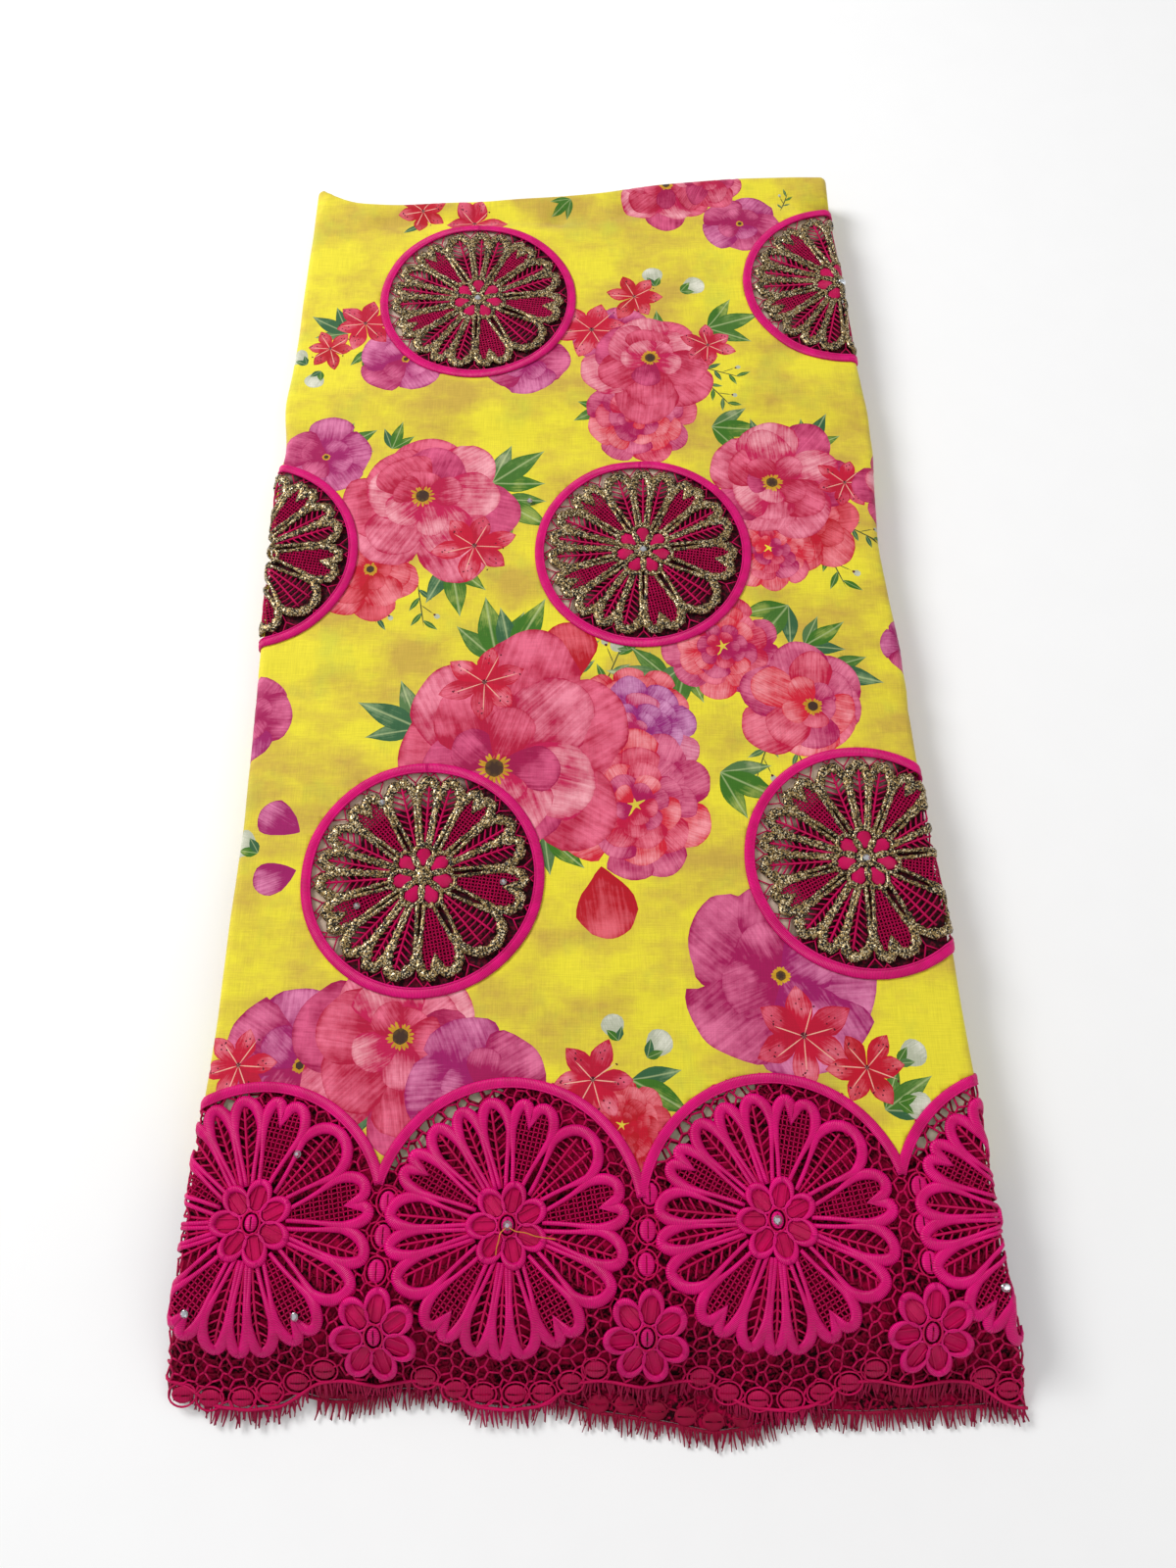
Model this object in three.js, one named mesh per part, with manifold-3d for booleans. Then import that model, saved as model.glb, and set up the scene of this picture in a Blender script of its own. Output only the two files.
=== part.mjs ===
// A folded length of printed voile with round guipure lace insets and a guipure border.
// Millimetres, +Z up. X runs across the folded cloth, Y away from the lace hem.
// Plan places are measured from the hem line, and the group is centred over its footprint at the end.
import * as THREE from 'three';
import { mergeVertices } from 'three/addons/utils/BufferGeometryUtils.js';
import Module from 'manifold-3d';

const wasm = await Module();
wasm.setup();

// Driving sizes
const VOILE_WALL = 1.2;
const LACE_WALL = 0.9;
const SATIN_HEIGHT = 1.9;
const PETAL_HEIGHT = 1.8;
const BEAD_HEIGHT = 2.2;
const SEAM_GAP = 0.3;
const MEDALLION_RADIUS = 55;
const RIM_WIDTH = 4.8;
const BAND_WIDTH = 4.3;
const BAND_POINT = 83;
const EDGE_CURL = 3.5;
const EDGE_INSET = EDGE_CURL + VOILE_WALL;
const RELIEF_MARGIN = 1.3;
const ACROSS_STEPS = 8;
const CIRCLE_SIDES = 24;
const LOW_Z = -10;
const HIGH_Z = 60;

// Plan edges of the folded cloth, one row for each station along it
const EDGES = [
  { y: -20, left: -172, right: 181 },
  { y: 3, left: -171, right: 178 },
  { y: 27, left: -166, right: 171 },
  { y: 44, left: -164.5, right: 168 },
  { y: 82, left: -164, right: 166 },
  { y: 118, left: -162, right: 165 },
  { y: 148, left: -161, right: 163 },
  { y: 185, left: -161, right: 161.5 },
  { y: 234, left: -160, right: 158 },
  { y: 277, left: -161, right: 156 },
  { y: 322, left: -162, right: 155.5 },
  { y: 358, left: -163, right: 152 },
  { y: 388, left: -163, right: 149.5 },
  { y: 423, left: -164, right: 151 },
  { y: 447, left: -160.5, right: 152.5 },
  { y: 470, left: -164.5, right: 152 },
  { y: 515, left: -162, right: 147.5 },
  { y: 560, left: -161.5, right: 144.5 },
  { y: 600, left: -160, right: 142 },
];
const LAST_STRAIGHT_ROW = 560;
const LAST_ROW = 600;

// The far fold, seen from above
const FAR_EDGE = [
  { x: -160, y: 635 },
  { x: -141, y: 622 },
  { x: -116, y: 619 },
  { x: -64, y: 622 },
  { x: -37, y: 625 },
  { x: 0, y: 629 },
  { x: 28, y: 635 },
  { x: 58, y: 639 },
  { x: 98, y: 642 },
  { x: 142, y: 642 },
];

// Height of the pile along the length: the border end is thick and falls to its hem
const HEIGHTS = [
  { y: -20, z: 2.2 },
  { y: -6, z: 2.5 },
  { y: 3, z: 4 },
  { y: 11, z: 8.8 },
  { y: 19, z: 15.3 },
  { y: 28, z: 21.5 },
  { y: 36, z: 24.4 },
  { y: 44, z: 25 },
  { y: 120, z: 25 },
  { y: 185, z: 23.4 },
  { y: 245, z: 21.7 },
  { y: 300, z: 21 },
  { y: 660, z: 21 },
];
const FLAT_FROM = 44;
// Slow waves of the flat top, which fade in from the border end
const SWELLS = [
  { rise: 0.5, across: 37, along: 61 },
  { rise: 0.4, across: 53, along: -29 },
];
const SWELL_FADE = 30;

// Creases that cross the top layer: the rise is negative in a trough
const CREASES = [
  { x1: -118, y1: 604, x2: -17, y2: 609, rise: -2.4, reach: 6 },
  { x1: -17, y1: 609, x2: 62, y2: 620, rise: -2.8, reach: 6 },
  { x1: 62, y1: 620, x2: 132, y2: 621, rise: -2.2, reach: 6 },
  { x1: -150, y1: 452, x2: 20, y2: 446, rise: -1.5, reach: 9 },
  { x1: 20, y1: 446, x2: 148, y2: 458, rise: -1.3, reach: 9 },
  { x1: -152, y1: 476, x2: 130, y2: 482, rise: 1.5, reach: 14 },
  { x1: 96, y1: 352, x2: 150, y2: 318, rise: -1.8, reach: 7 },
  { x1: 110, y1: 306, x2: 152, y2: 297, rise: -1.4, reach: 6 },
  { x1: -152, y1: 312, x2: -96, y2: 296, rise: -1.3, reach: 7 },
  { x1: -60, y1: 306, x2: 60, y2: 286, rise: 1.0, reach: 16 },
  { x1: 10, y1: 168, x2: 96, y2: 142, rise: 1.2, reach: 12 },
];

const MEDALLIONS = [
  { name: 'medallion_1', x: -61.7, y: 545.8 },
  { name: 'medallion_2', x: 142.5, y: 557.8 },
  { name: 'medallion_3', x: -171.9, y: 381.2 },
  { name: 'medallion_4', x: 27.9, y: 382.3 },
  { name: 'medallion_5', x: -74.5, y: 210.9 },
  { name: 'medallion_6', x: 126, y: 219.2 },
];

// Border flowers with the radius of the scallop over each
const SCALLOPS = [
  { x: -135.3, y: 66.4, radius: 55 },
  { x: -32.3, y: 65.6, radius: 57.5 },
  { x: 76.2, y: 67.5, radius: 57.5 },
  { x: 181.9, y: 69.3, radius: 58.5 },
];
const BLOSSOMS = [
  { name: 'border_blossom_1', x: -84.2, y: 26 },
  { name: 'border_blossom_2', x: 23.2, y: 25.6 },
  { name: 'border_blossom_3', x: 135, y: 27.6 },
];

// Petals of a lace flower, clockwise from the far side, one row for each kind
const MEDALLION_PETALS = [
  { kind: 'net', angles: [35, 98, 168, 243, 318] },
  { kind: 'ladder', angles: [133] },
  { kind: 'vein', angles: [1, 14, 58, 70, 193, 207, 222, 266, 280, 295, 344] },
];
const BORDER_PETALS = [
  { kind: 'net', angles: [12, 80, 150, 215, 300] },
  { kind: 'ladder', angles: [45] },
  { kind: 'vein', angles: [105, 120, 172, 183, 195, 245, 260, 275, 320, 335, 350] },
];
const MEDALLION_FLOWER = { petals: MEDALLION_PETALS, valley: 34, tip: 46.5 };
const BORDER_FLOWER = { petals: BORDER_PETALS, valley: 35, tip: 48.5 };
const LOBE_ANGLE = 7;
const GAP_ANGLE = 4.2;
const GAP_DEPTH = 8.4;
const GAP_MARGIN = 1.2;
const GAPS_FROM = 30;
const NOTCH_SHARE = 0.93;
const ROSETTE_RADIUS = 15.5;
const ROSETTE_PETALS = 7;
const ROSETTE_LOBE = 0.25;
const HEART_RADIUS = 4.5;
const BLOSSOM_RADIUS = 17;
const BLOSSOM_RELIEF = 2;

// Lower edge of the top lace under each scallop, by distance from its flower
const HEM = [
  { from: 0, y: -3.5 },
  { from: 14, y: -2 },
  { from: 27, y: 7 },
  { from: 38, y: 8 },
  { from: 54, y: 5 },
];
// Lower edge of the second lace layer, which peeks out
const UNDER_HEM = [
  { x: -172, y: 4 },
  { x: -120, y: 3 },
  { x: -104, y: -1 },
  { x: -92, y: -1 },
  { x: -80, y: 3 },
  { x: -20, y: 3 },
  { x: -2, y: -4 },
  { x: 28, y: -8 },
  { x: 50, y: -12 },
  { x: 66, y: -10 },
  { x: 82, y: -4 },
  { x: 110, y: -5 },
  { x: 150, y: -3 },
  { x: 181, y: -1 },
];
const FRINGE_LENGTH = 6.5;
const FRINGE_GAP = 0.75;
const FRINGE_STRIP = 1.7;
const FRINGE_WALL = 0.7;
const STRAND_WIDTH = 1.2;
const STRAND_LEAN = 0.9;
const STRAND_LEAN_TURN = 2.4;
const STRAND_VARIATION = 1.2;
const STRAND_LONG_TURN = 1.7;
const TOP_FRINGE = { from: -166, to: 172, count: 110 };
const UNDER_FRINGE = { from: -8, to: 168, count: 56 };

// Raised satin ovals: three under each point of the scallops, and a chain along the hem
const COLUMN_BEADS = [
  { x: -81, y: 74.1 },
  { x: -82.2, y: 61.6 },
  { x: -84, y: 48.7 },
  { x: 25, y: 77.4 },
  { x: 24, y: 63.8 },
  { x: 23.2, y: 51.2 },
  { x: 135, y: 80 },
  { x: 135, y: 65.6 },
  { x: 136, y: 51.9 },
];
const BEAD_LONG = 11;
const BEAD_SHORT = 8;
const HEM_BEAD_STEP = 12;
const HEM_BEADS_A_SIDE = 2;
const HEM_BEAD_MARGIN = 5;

// Reads one column of a table between its rows
function lookUp(rows, key, column, at) {
  const last = rows.length - 1;
  if (at <= rows[0][key]) return rows[0][column];
  if (at >= rows[last][key]) return rows[last][column];
  const i = rows.findIndex((row) => row[key] > at);
  const low = rows[i - 1];
  const high = rows[i];
  const share = (at - low[key]) / (high[key] - low[key]);
  return THREE.MathUtils.lerp(low[column], high[column], share);
}

const leftEdge = (y) => lookUp(EDGES, 'y', 'left', y);
const rightEdge = (y) => lookUp(EDGES, 'y', 'right', y);
const degrees = (angle) => THREE.MathUtils.degToRad(angle);
// A plan point at a clock angle, 0 towards the far side
const clockPoint = (centre, angle, radius) => ({
  x: centre.x + radius * Math.sin(degrees(angle)),
  y: centre.y + radius * Math.cos(degrees(angle)),
});

// Height of a crease at a plan point: a soft ridge or trough that fades at its ends
function creaseHeight(crease, x, y) {
  const dx = crease.x2 - crease.x1;
  const dy = crease.y2 - crease.y1;
  const share = ((x - crease.x1) * dx + (y - crease.y1) * dy) / (dx * dx + dy * dy);
  const along = THREE.MathUtils.clamp(share, 0, 1);
  const away = Math.hypot(x - crease.x1 - along * dx, y - crease.y1 - along * dy);
  return crease.rise * Math.exp(-((away / crease.reach) ** 2));
}

// Top surface of the pile under the top layer
function surfaceHeight(x, y) {
  const base = lookUp(HEIGHTS, 'y', 'z', y);
  if (y < FLAT_FROM) return base;
  const swell = SWELLS.reduce((sum, s) => sum + s.rise * Math.sin(x / s.across + y / s.along), 0);
  const fade = Math.min(1, (y - FLAT_FROM) / SWELL_FADE);
  return base + fade * (swell + CREASES.reduce((sum, crease) => sum + creaseHeight(crease, x, y), 0));
}

const SLOPE_REACH = 3;
function surfaceNormal(x, y) {
  const slopeX = surfaceHeight(x + SLOPE_REACH, y) - surfaceHeight(x - SLOPE_REACH, y);
  const slopeY = surfaceHeight(x, y + SLOPE_REACH) - surfaceHeight(x, y - SLOPE_REACH);
  return new THREE.Vector3(-slopeX, -slopeY, 2 * SLOPE_REACH).normalize();
}

// A point of the top surface, moved out by a height
function onSurface(x, y, height) {
  const point = new THREE.Vector3(x, y, surfaceHeight(x, y));
  return point.addScaledVector(surfaceNormal(x, y), height);
}

// The side fold's radius, which shrinks where the lace comes down to the floor
const CURL_LOW = 1.4;
const CURL_SHARE = 1.4;
const CURL_LEAST = 0.4;
function curlRadius(z) {
  return THREE.MathUtils.clamp((z - CURL_LOW) / CURL_SHARE, CURL_LEAST, EDGE_CURL);
}

// Plan nodes of the cloth between two rows, with the loop of nodes along its folded edges
function planGrid(rows) {
  const nodes = [];
  for (const y of rows) {
    const left = leftEdge(y) + EDGE_INSET;
    const right = rightEdge(y) - EDGE_INSET;
    for (let i = 0; i <= ACROSS_STEPS; i += 1) {
      const x = THREE.MathUtils.lerp(left, right, i / ACROSS_STEPS);
      const end = lookUp(FAR_EDGE, 'x', 'y', x) - EDGE_INSET;
      const beyond = Math.max(0, (y - LAST_STRAIGHT_ROW) / (LAST_ROW - LAST_STRAIGHT_ROW));
      nodes.push({ x, y: beyond > 0 ? THREE.MathUtils.lerp(LAST_STRAIGHT_ROW, end, beyond) : y });
    }
  }
  return nodes;
}

// The loop of edge nodes: up the left side, along the far fold, down the right side,
// and along the near row where the loop is closed
function edgeLoop(rowCount, far, near) {
  const width = ACROSS_STEPS + 1;
  const loop = [];
  for (let j = 0; j < rowCount; j += 1) {
    loop.push({ index: j * width, out: [-1, far && j === rowCount - 1 ? 1 : 0] });
  }
  for (let i = 1; i < ACROSS_STEPS && far; i += 1) {
    loop.push({ index: (rowCount - 1) * width + i, out: [0, 1] });
  }
  for (let j = rowCount - 1; j >= 0; j -= 1) {
    loop.push({ index: j * width + ACROSS_STEPS, out: [1, far && j === rowCount - 1 ? 1 : 0] });
  }
  for (let i = ACROSS_STEPS - 1; i > 0 && near; i -= 1) {
    loop.push({ index: i, out: [0, 0] });
  }
  return loop;
}

const CURL_ANGLES = [40, 80, 115];

// A node's place at a height over the surface, turned down over the folded edge by an angle
function curledPoint(node, out, angle, height) {
  const z = surfaceHeight(node.x, node.y);
  if (angle === 0) return onSurface(node.x, node.y, height);
  const radius = curlRadius(z);
  const reach = (radius + height) * Math.sin(degrees(angle));
  const long = Math.hypot(out[0], out[1]) || 1;
  return new THREE.Vector3(
    node.x + (reach * out[0]) / long,
    node.y + (reach * out[1]) / long,
    z - radius + (radius + height) * Math.cos(degrees(angle)),
  );
}

// Triangles of a grid of quads between rows of node numbers, facing up
function gridTriangles(rowCount) {
  const width = ACROSS_STEPS + 1;
  const triangles = [];
  for (let j = 0; j + 1 < rowCount; j += 1) {
    for (let i = 0; i < ACROSS_STEPS; i += 1) {
      const a = j * width + i;
      triangles.push([a, a + 1, a + width + 1], [a, a + width + 1, a + width]);
    }
  }
  return triangles;
}

// Triangles between two strings of node numbers that run side by side
function stripTriangles(upper, lower, closed) {
  const triangles = [];
  const count = closed ? upper.length : upper.length - 1;
  for (let k = 0; k < count; k += 1) {
    const next = (k + 1) % upper.length;
    triangles.push([upper[k], lower[next], lower[k]], [upper[k], upper[next], lower[next]]);
  }
  return triangles;
}

function geometryFrom(points, triangles) {
  const geometry = new THREE.BufferGeometry();
  const flat = points.flatMap((p) => [p.x, p.y, p.z]);
  geometry.setAttribute('position', new THREE.Float32BufferAttribute(flat, 3));
  geometry.setIndex(triangles.flat());
  return geometry;
}

function toSolid(geometry) {
  const bare = geometry.clone();
  bare.deleteAttribute('normal');
  bare.deleteAttribute('uv');
  const merged = mergeVertices(bare, 1e-4);
  const mesh = new wasm.Mesh({
    numProp: 3,
    vertProperties: new Float32Array(merged.attributes.position.array),
    triVerts: new Uint32Array(merged.index.array),
  });
  return new wasm.Manifold(mesh);
}

function toGeometry(solid) {
  const mesh = solid.getMesh();
  const geometry = new THREE.BufferGeometry();
  geometry.setAttribute('position', new THREE.BufferAttribute(mesh.vertProperties, 3));
  geometry.setIndex(new THREE.BufferAttribute(mesh.triVerts, 1));
  return geometry;
}

// Triangles over a plan outline, all facing up
function capTriangles(outline) {
  const vectors = outline.map((p) => new THREE.Vector2(p.x, p.y));
  const triangles = THREE.ShapeUtils.triangulateShape([...vectors], []);
  const areas = triangles.map((triangle) => THREE.ShapeUtils.area(triangle.map((index) => vectors[index])));
  const facingDown = areas.reduce((sum, area) => sum + area, 0) < 0;
  return facingDown ? triangles.map((triangle) => [...triangle].reverse()) : triangles;
}

// A closed wall of cloth between two heights over the surface, turned down at its folded edges
function sheetSolid(rows, low, high, folded, far) {
  const nodes = planGrid(rows);
  const loop = edgeLoop(rows.length, far, false);
  const skins = [high, low].map((height) => {
    const points = nodes.map((node) => onSurface(node.x, node.y, height));
    const strings = [loop.map((edge) => edge.index)];
    for (const angle of folded ? CURL_ANGLES : []) {
      strings.push(loop.map((edge) => {
        points.push(curledPoint(nodes[edge.index], edge.out, angle, height));
        return points.length - 1;
      }));
    }
    return { points, strings };
  });
  const count = skins[0].points.length;
  const skinTriangles = gridTriangles(rows.length);
  for (let k = 0; k + 1 < skins[0].strings.length; k += 1) {
    const parts = far ? [[0, loop.length]] : [[0, rows.length], [rows.length, loop.length]];
    for (const [from, to] of parts) {
      const upper = skins[0].strings[k].slice(from, to);
      const lower = skins[0].strings[k + 1].slice(from, to);
      skinTriangles.push(...stripTriangles(upper, lower, false));
    }
  }
  return toSolid(closeWall(skins[0].points, skins[1].points, skinTriangles, count));
}

// Joins an upper and a lower skin of the same triangles along their open edges
function closeWall(upper, lower, triangles, count) {
  const edges = new Map();
  for (const [a, b, c] of triangles) {
    for (const [from, to] of [[a, b], [b, c], [c, a]]) {
      if (edges.has(`${to},${from}`)) edges.delete(`${to},${from}`);
      else edges.set(`${from},${to}`, [from, to]);
    }
  }
  const all = [...triangles];
  for (const [a, b, c] of triangles) all.push([a + count, c + count, b + count]);
  for (const [from, to] of edges.values()) {
    all.push([from, from + count, to + count], [from, to + count, to]);
  }
  return geometryFrom([...upper, ...lower], all);
}

// A tall upright prism over a plan outline, to cut or keep a region of the cloth
function regionPrism(outline) {
  const shape = new THREE.Shape(outline.map((p) => new THREE.Vector2(p.x, p.y)));
  const geometry = new THREE.ExtrudeGeometry(shape, { depth: HIGH_Z - LOW_Z, bevelEnabled: false });
  geometry.translate(0, 0, LOW_Z);
  return toSolid(geometry);
}

function discOutline(centre, radius, sides) {
  const points = [];
  for (let k = 0; k < sides; k += 1) points.push(clockPoint(centre, (360 * k) / sides, radius));
  return points.reverse();
}

const joinAll = (solids) => solids.slice(1).reduce((sum, solid) => sum.add(solid), solids[0]);
const joinRegions = (outlines) => joinAll(outlines.map(regionPrism));

// Petals of a lace flower in their order round it
function petalsInOrder(flower) {
  const petals = flower.petals.flatMap(({ kind, angles }) => angles.map((angle) => ({ kind, angle })));
  return petals.sort((a, b) => a.angle - b.angle);
}

// Clock angle half way from one petal to the next
function valleyAngle(petals, k) {
  const next = k + 1 < petals.length ? petals[k + 1].angle : petals[0].angle + 360;
  return (petals[k].angle + next) / 2;
}

// Plan outline of all petals of a lace flower: broad ones have two lobes, narrow ones a point
function petalStar(flower, centre) {
  const petals = petalsInOrder(flower);
  return petals.flatMap(({ kind, angle }, k) => {
    const valley = clockPoint(centre, valleyAngle(petals, k), flower.valley);
    if (kind === 'vein') return [clockPoint(centre, angle, flower.tip), valley];
    return [
      clockPoint(centre, angle - LOBE_ANGLE, flower.tip),
      clockPoint(centre, angle, NOTCH_SHARE * flower.tip),
      clockPoint(centre, angle + LOBE_ANGLE, flower.tip),
      valley,
    ];
  });
}

// Plan outline of a flower with seven round petals
function rosetteOutline(centre, radius) {
  const outline = [];
  const turn = 360 / ROSETTE_PETALS;
  for (let k = 0; k < ROSETTE_PETALS; k += 1) {
    outline.push(clockPoint(centre, (k - ROSETTE_LOBE) * turn, radius));
    outline.push(clockPoint(centre, (k + ROSETTE_LOBE) * turn, radius));
  }
  return outline;
}

const heartOutline = (centre) => discOutline(centre, HEART_RADIUS, 6);

// Three-sided gaps between the petal tips and the rim
function rimGaps(flower, centre, rimRadius) {
  const petals = petalsInOrder(flower);
  const wide = petals.map((petal, k) => {
    const next = petals[(k + 1) % petals.length];
    return petal.kind !== 'vein' || next.kind !== 'vein' ? valleyAngle(petals, k) : null;
  });
  return wide.filter((middle) => middle !== null).map((middle) => [
    clockPoint(centre, middle - GAP_ANGLE, rimRadius - GAP_MARGIN),
    clockPoint(centre, middle + GAP_ANGLE, rimRadius - GAP_MARGIN),
    clockPoint(centre, middle, rimRadius - GAP_DEPTH),
  ]);
}

// True where a plan point lies on the flat top, clear of the folded edges
function insideCloth(point, margin) {
  const low = leftEdge(point.y) + EDGE_INSET + margin;
  const high = rightEdge(point.y) - EDGE_INSET - margin;
  return point.x > low && point.x < high;
}

const CLOTH_ROWS = [82, 118, 155, 190, 225, 262, 298, 324, 358, 395, 436, 452, 468, 505, 560, 582, 591, 600];
const BORDER_ROWS = [-20, -6, 3, 11, 19, 28, 36, 44, 82, 118, 134];
const PILE_ROWS = [19, 28, 36, 44, ...CLOTH_ROWS];
const UNDER_ROWS = [-20, -6, 3, 11, 19, 28, 36];

// What is raised on the lace between two heights, kept clear of the folded edges
function reliefSolid(rows, high, far, region) {
  const left = EDGES.map((row) => ({ x: row.left + EDGE_INSET + RELIEF_MARGIN, y: row.y }));
  const right = EDGES.map((row) => ({ x: row.right - EDGE_INSET - RELIEF_MARGIN, y: row.y }));
  const flatTop = regionPrism([...left, ...right.reverse()]);
  return sheetSolid(rows, LACE_WALL / 2, high, false, far).intersect(region).intersect(flatTop);
}

// Hidden layers
const UNDER_LACE_LOW = -1.6;
const UNDER_LACE_HIGH = -0.5;
const PILE_TOP = -SEAM_GAP;
const PILE_TOP_AT_HEM = UNDER_LACE_LOW - SEAM_GAP;
const PILE_CURLS = [50, 115];
const LAYERS = [
  { share: 0.26, inset: 0.7 },
  { share: 0.42, inset: 2.5 },
  { share: 0.58, inset: 0.6 },
  { share: 0.72, inset: 2.7 },
  { share: 0.87, inset: 1.1 },
  { share: 1, inset: 3.0 },
];
// Each layer's edge wanders by a sine along the loop
const LAYER_UNEVEN = 0.5;
const LAYER_TURN = 0.9;
const LAYER_SHIFT = 14;

// One rounded solid for the layers under the top one, with the folds of its layers at the sides
function buildPile() {
  const nodes = planGrid(PILE_ROWS);
  const topHeight = (node) => (node.y < FLAT_FROM ? PILE_TOP_AT_HEM : PILE_TOP);
  const loop = edgeLoop(PILE_ROWS.length, true, true);
  const points = nodes.map((node) => onSurface(node.x, node.y, topHeight(node)));
  const triangles = gridTriangles(PILE_ROWS.length);
  let above = loop.map((edge) => edge.index);
  const addRing = (place) => {
    const ring = loop.map((edge, k) => {
      points.push(place(nodes[edge.index], edge.out, k));
      return points.length - 1;
    });
    triangles.push(...stripTriangles(above, ring, true));
    above = ring;
  };
  for (const angle of PILE_CURLS) {
    addRing((node, out) => curledPoint(node, out, angle, topHeight(node)));
  }
  const lowEdges = loop.map((edge) => {
    const node = nodes[edge.index];
    return curledPoint(node, edge.out, PILE_CURLS[PILE_CURLS.length - 1], topHeight(node)).z;
  });
  for (const { share, inset } of LAYERS) {
    addRing((node, out, k) => {
      const long = Math.hypot(out[0], out[1]) || 1;
      const uneven = share < 1 ? LAYER_UNEVEN * Math.sin(LAYER_TURN * k + LAYER_SHIFT * share) : 0;
      const reach = EDGE_INSET - inset - uneven;
      const x = node.x + (reach * out[0]) / long;
      return new THREE.Vector3(x, node.y + (reach * out[1]) / long, lowEdges[k] * (1 - share));
    });
  }
  const base = above.map((index) => points[index]);
  for (const [a, b, c] of capTriangles(base)) triangles.push([above[a], above[c], above[b]]);
  return toSolid(geometryFrom(points, triangles));
}

// Plan region of the guipure border: scalloped discs over a band that runs to the hem
const BEYOND_HEM = [{ x: -200, y: -40 }, { x: 220, y: -40 }];
function borderRegion(shrink, bandTop, hemRows) {
  const discs = SCALLOPS.map((s) => regionPrism(discOutline(s, s.radius - shrink, CIRCLE_SIDES)));
  const lower = hemRows.length > 0 ? hemRows : BEYOND_HEM;
  const first = lower[0];
  const last = lower[lower.length - 1];
  const outline = [...lower, { x: last.x, y: bandTop }, { x: first.x, y: bandTop }];
  return joinAll([regionPrism(outline), ...discs]);
}

function hemHeight(x) {
  const away = Math.min(...SCALLOPS.map((s) => Math.abs(x - s.x)));
  return lookUp(HEM, 'from', 'y', away);
}
const underHemHeight = (x) => lookUp(UNDER_HEM, 'x', 'y', x);

// Ranges across the cloth over which a hem's line is drawn
const TOP_HEM = { from: -190, to: 200, step: 6 };
const LOWER_HEM = { from: -168, to: 176, step: 8 };
function hemRow(height, { from, to, step }) {
  const row = [];
  for (let x = from; x <= to; x += step) row.push({ x, y: height(x) });
  return row;
}

// Plan outline of an oval satin bead
function beadOutline(bead, across, along) {
  const outline = [];
  for (let k = 0; k < 6; k += 1) {
    const angle = (k * Math.PI) / 3;
    outline.push({ x: bead.x + (across / 2) * Math.cos(angle), y: bead.y + (along / 2) * Math.sin(angle) });
  }
  return outline;
}

function hemBeads(height, step, count) {
  const beads = [];
  for (const s of SCALLOPS) {
    for (let k = -count; k <= count; k += 1) {
      const x = s.x + k * step;
      beads.push({ x, y: height(x) + HEM_BEAD_MARGIN });
    }
  }
  return beads.filter((bead) => insideCloth(bead, HEM_BEAD_MARGIN));
}

// The bride net's cells lie in staggered rows, each row nearer the one before than its pitch
const NET_PITCH = 10.2;
const NET_RADIUS = 3.4;
const NET_ROW_SHARE = 0.87;
const NET_FROM = { x: -164, y: 3 };
const NET_TO = { x: 181, y: 62 };
const NET_CLEAR = { flower: 53, blossom: 15, bead: 7.5, hem: 7, fold: 5 };

// True where a net cell keeps clear of everything raised on the lace
function netCellFits(centre, beads) {
  const clearOf = (places, gap) => places.every((s) => Math.hypot(centre.x - s.x, centre.y - s.y) > gap);
  return clearOf(SCALLOPS, NET_CLEAR.flower)
    && clearOf(BLOSSOMS, NET_CLEAR.blossom)
    && clearOf(beads, NET_CLEAR.bead)
    && centre.y > hemHeight(centre.x) + NET_CLEAR.hem
    && insideCloth(centre, NET_CLEAR.fold);
}

// Open cells of the bride net between the border flowers
function netGaps() {
  const cells = [];
  const beads = [...COLUMN_BEADS, ...hemBeads(hemHeight, HEM_BEAD_STEP, HEM_BEADS_A_SIDE)];
  const rowStep = NET_PITCH * NET_ROW_SHARE;
  for (let row = 0; NET_FROM.y + row * rowStep < NET_TO.y; row += 1) {
    const stagger = row % 2 === 0 ? 0 : NET_PITCH / 2;
    for (let x = NET_FROM.x + stagger; x < NET_TO.x; x += NET_PITCH) {
      const centre = { x, y: NET_FROM.y + row * rowStep };
      if (netCellFits(centre, beads)) cells.push(discOutline(centre, NET_RADIUS, 4));
    }
  }
  return cells;
}

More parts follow.
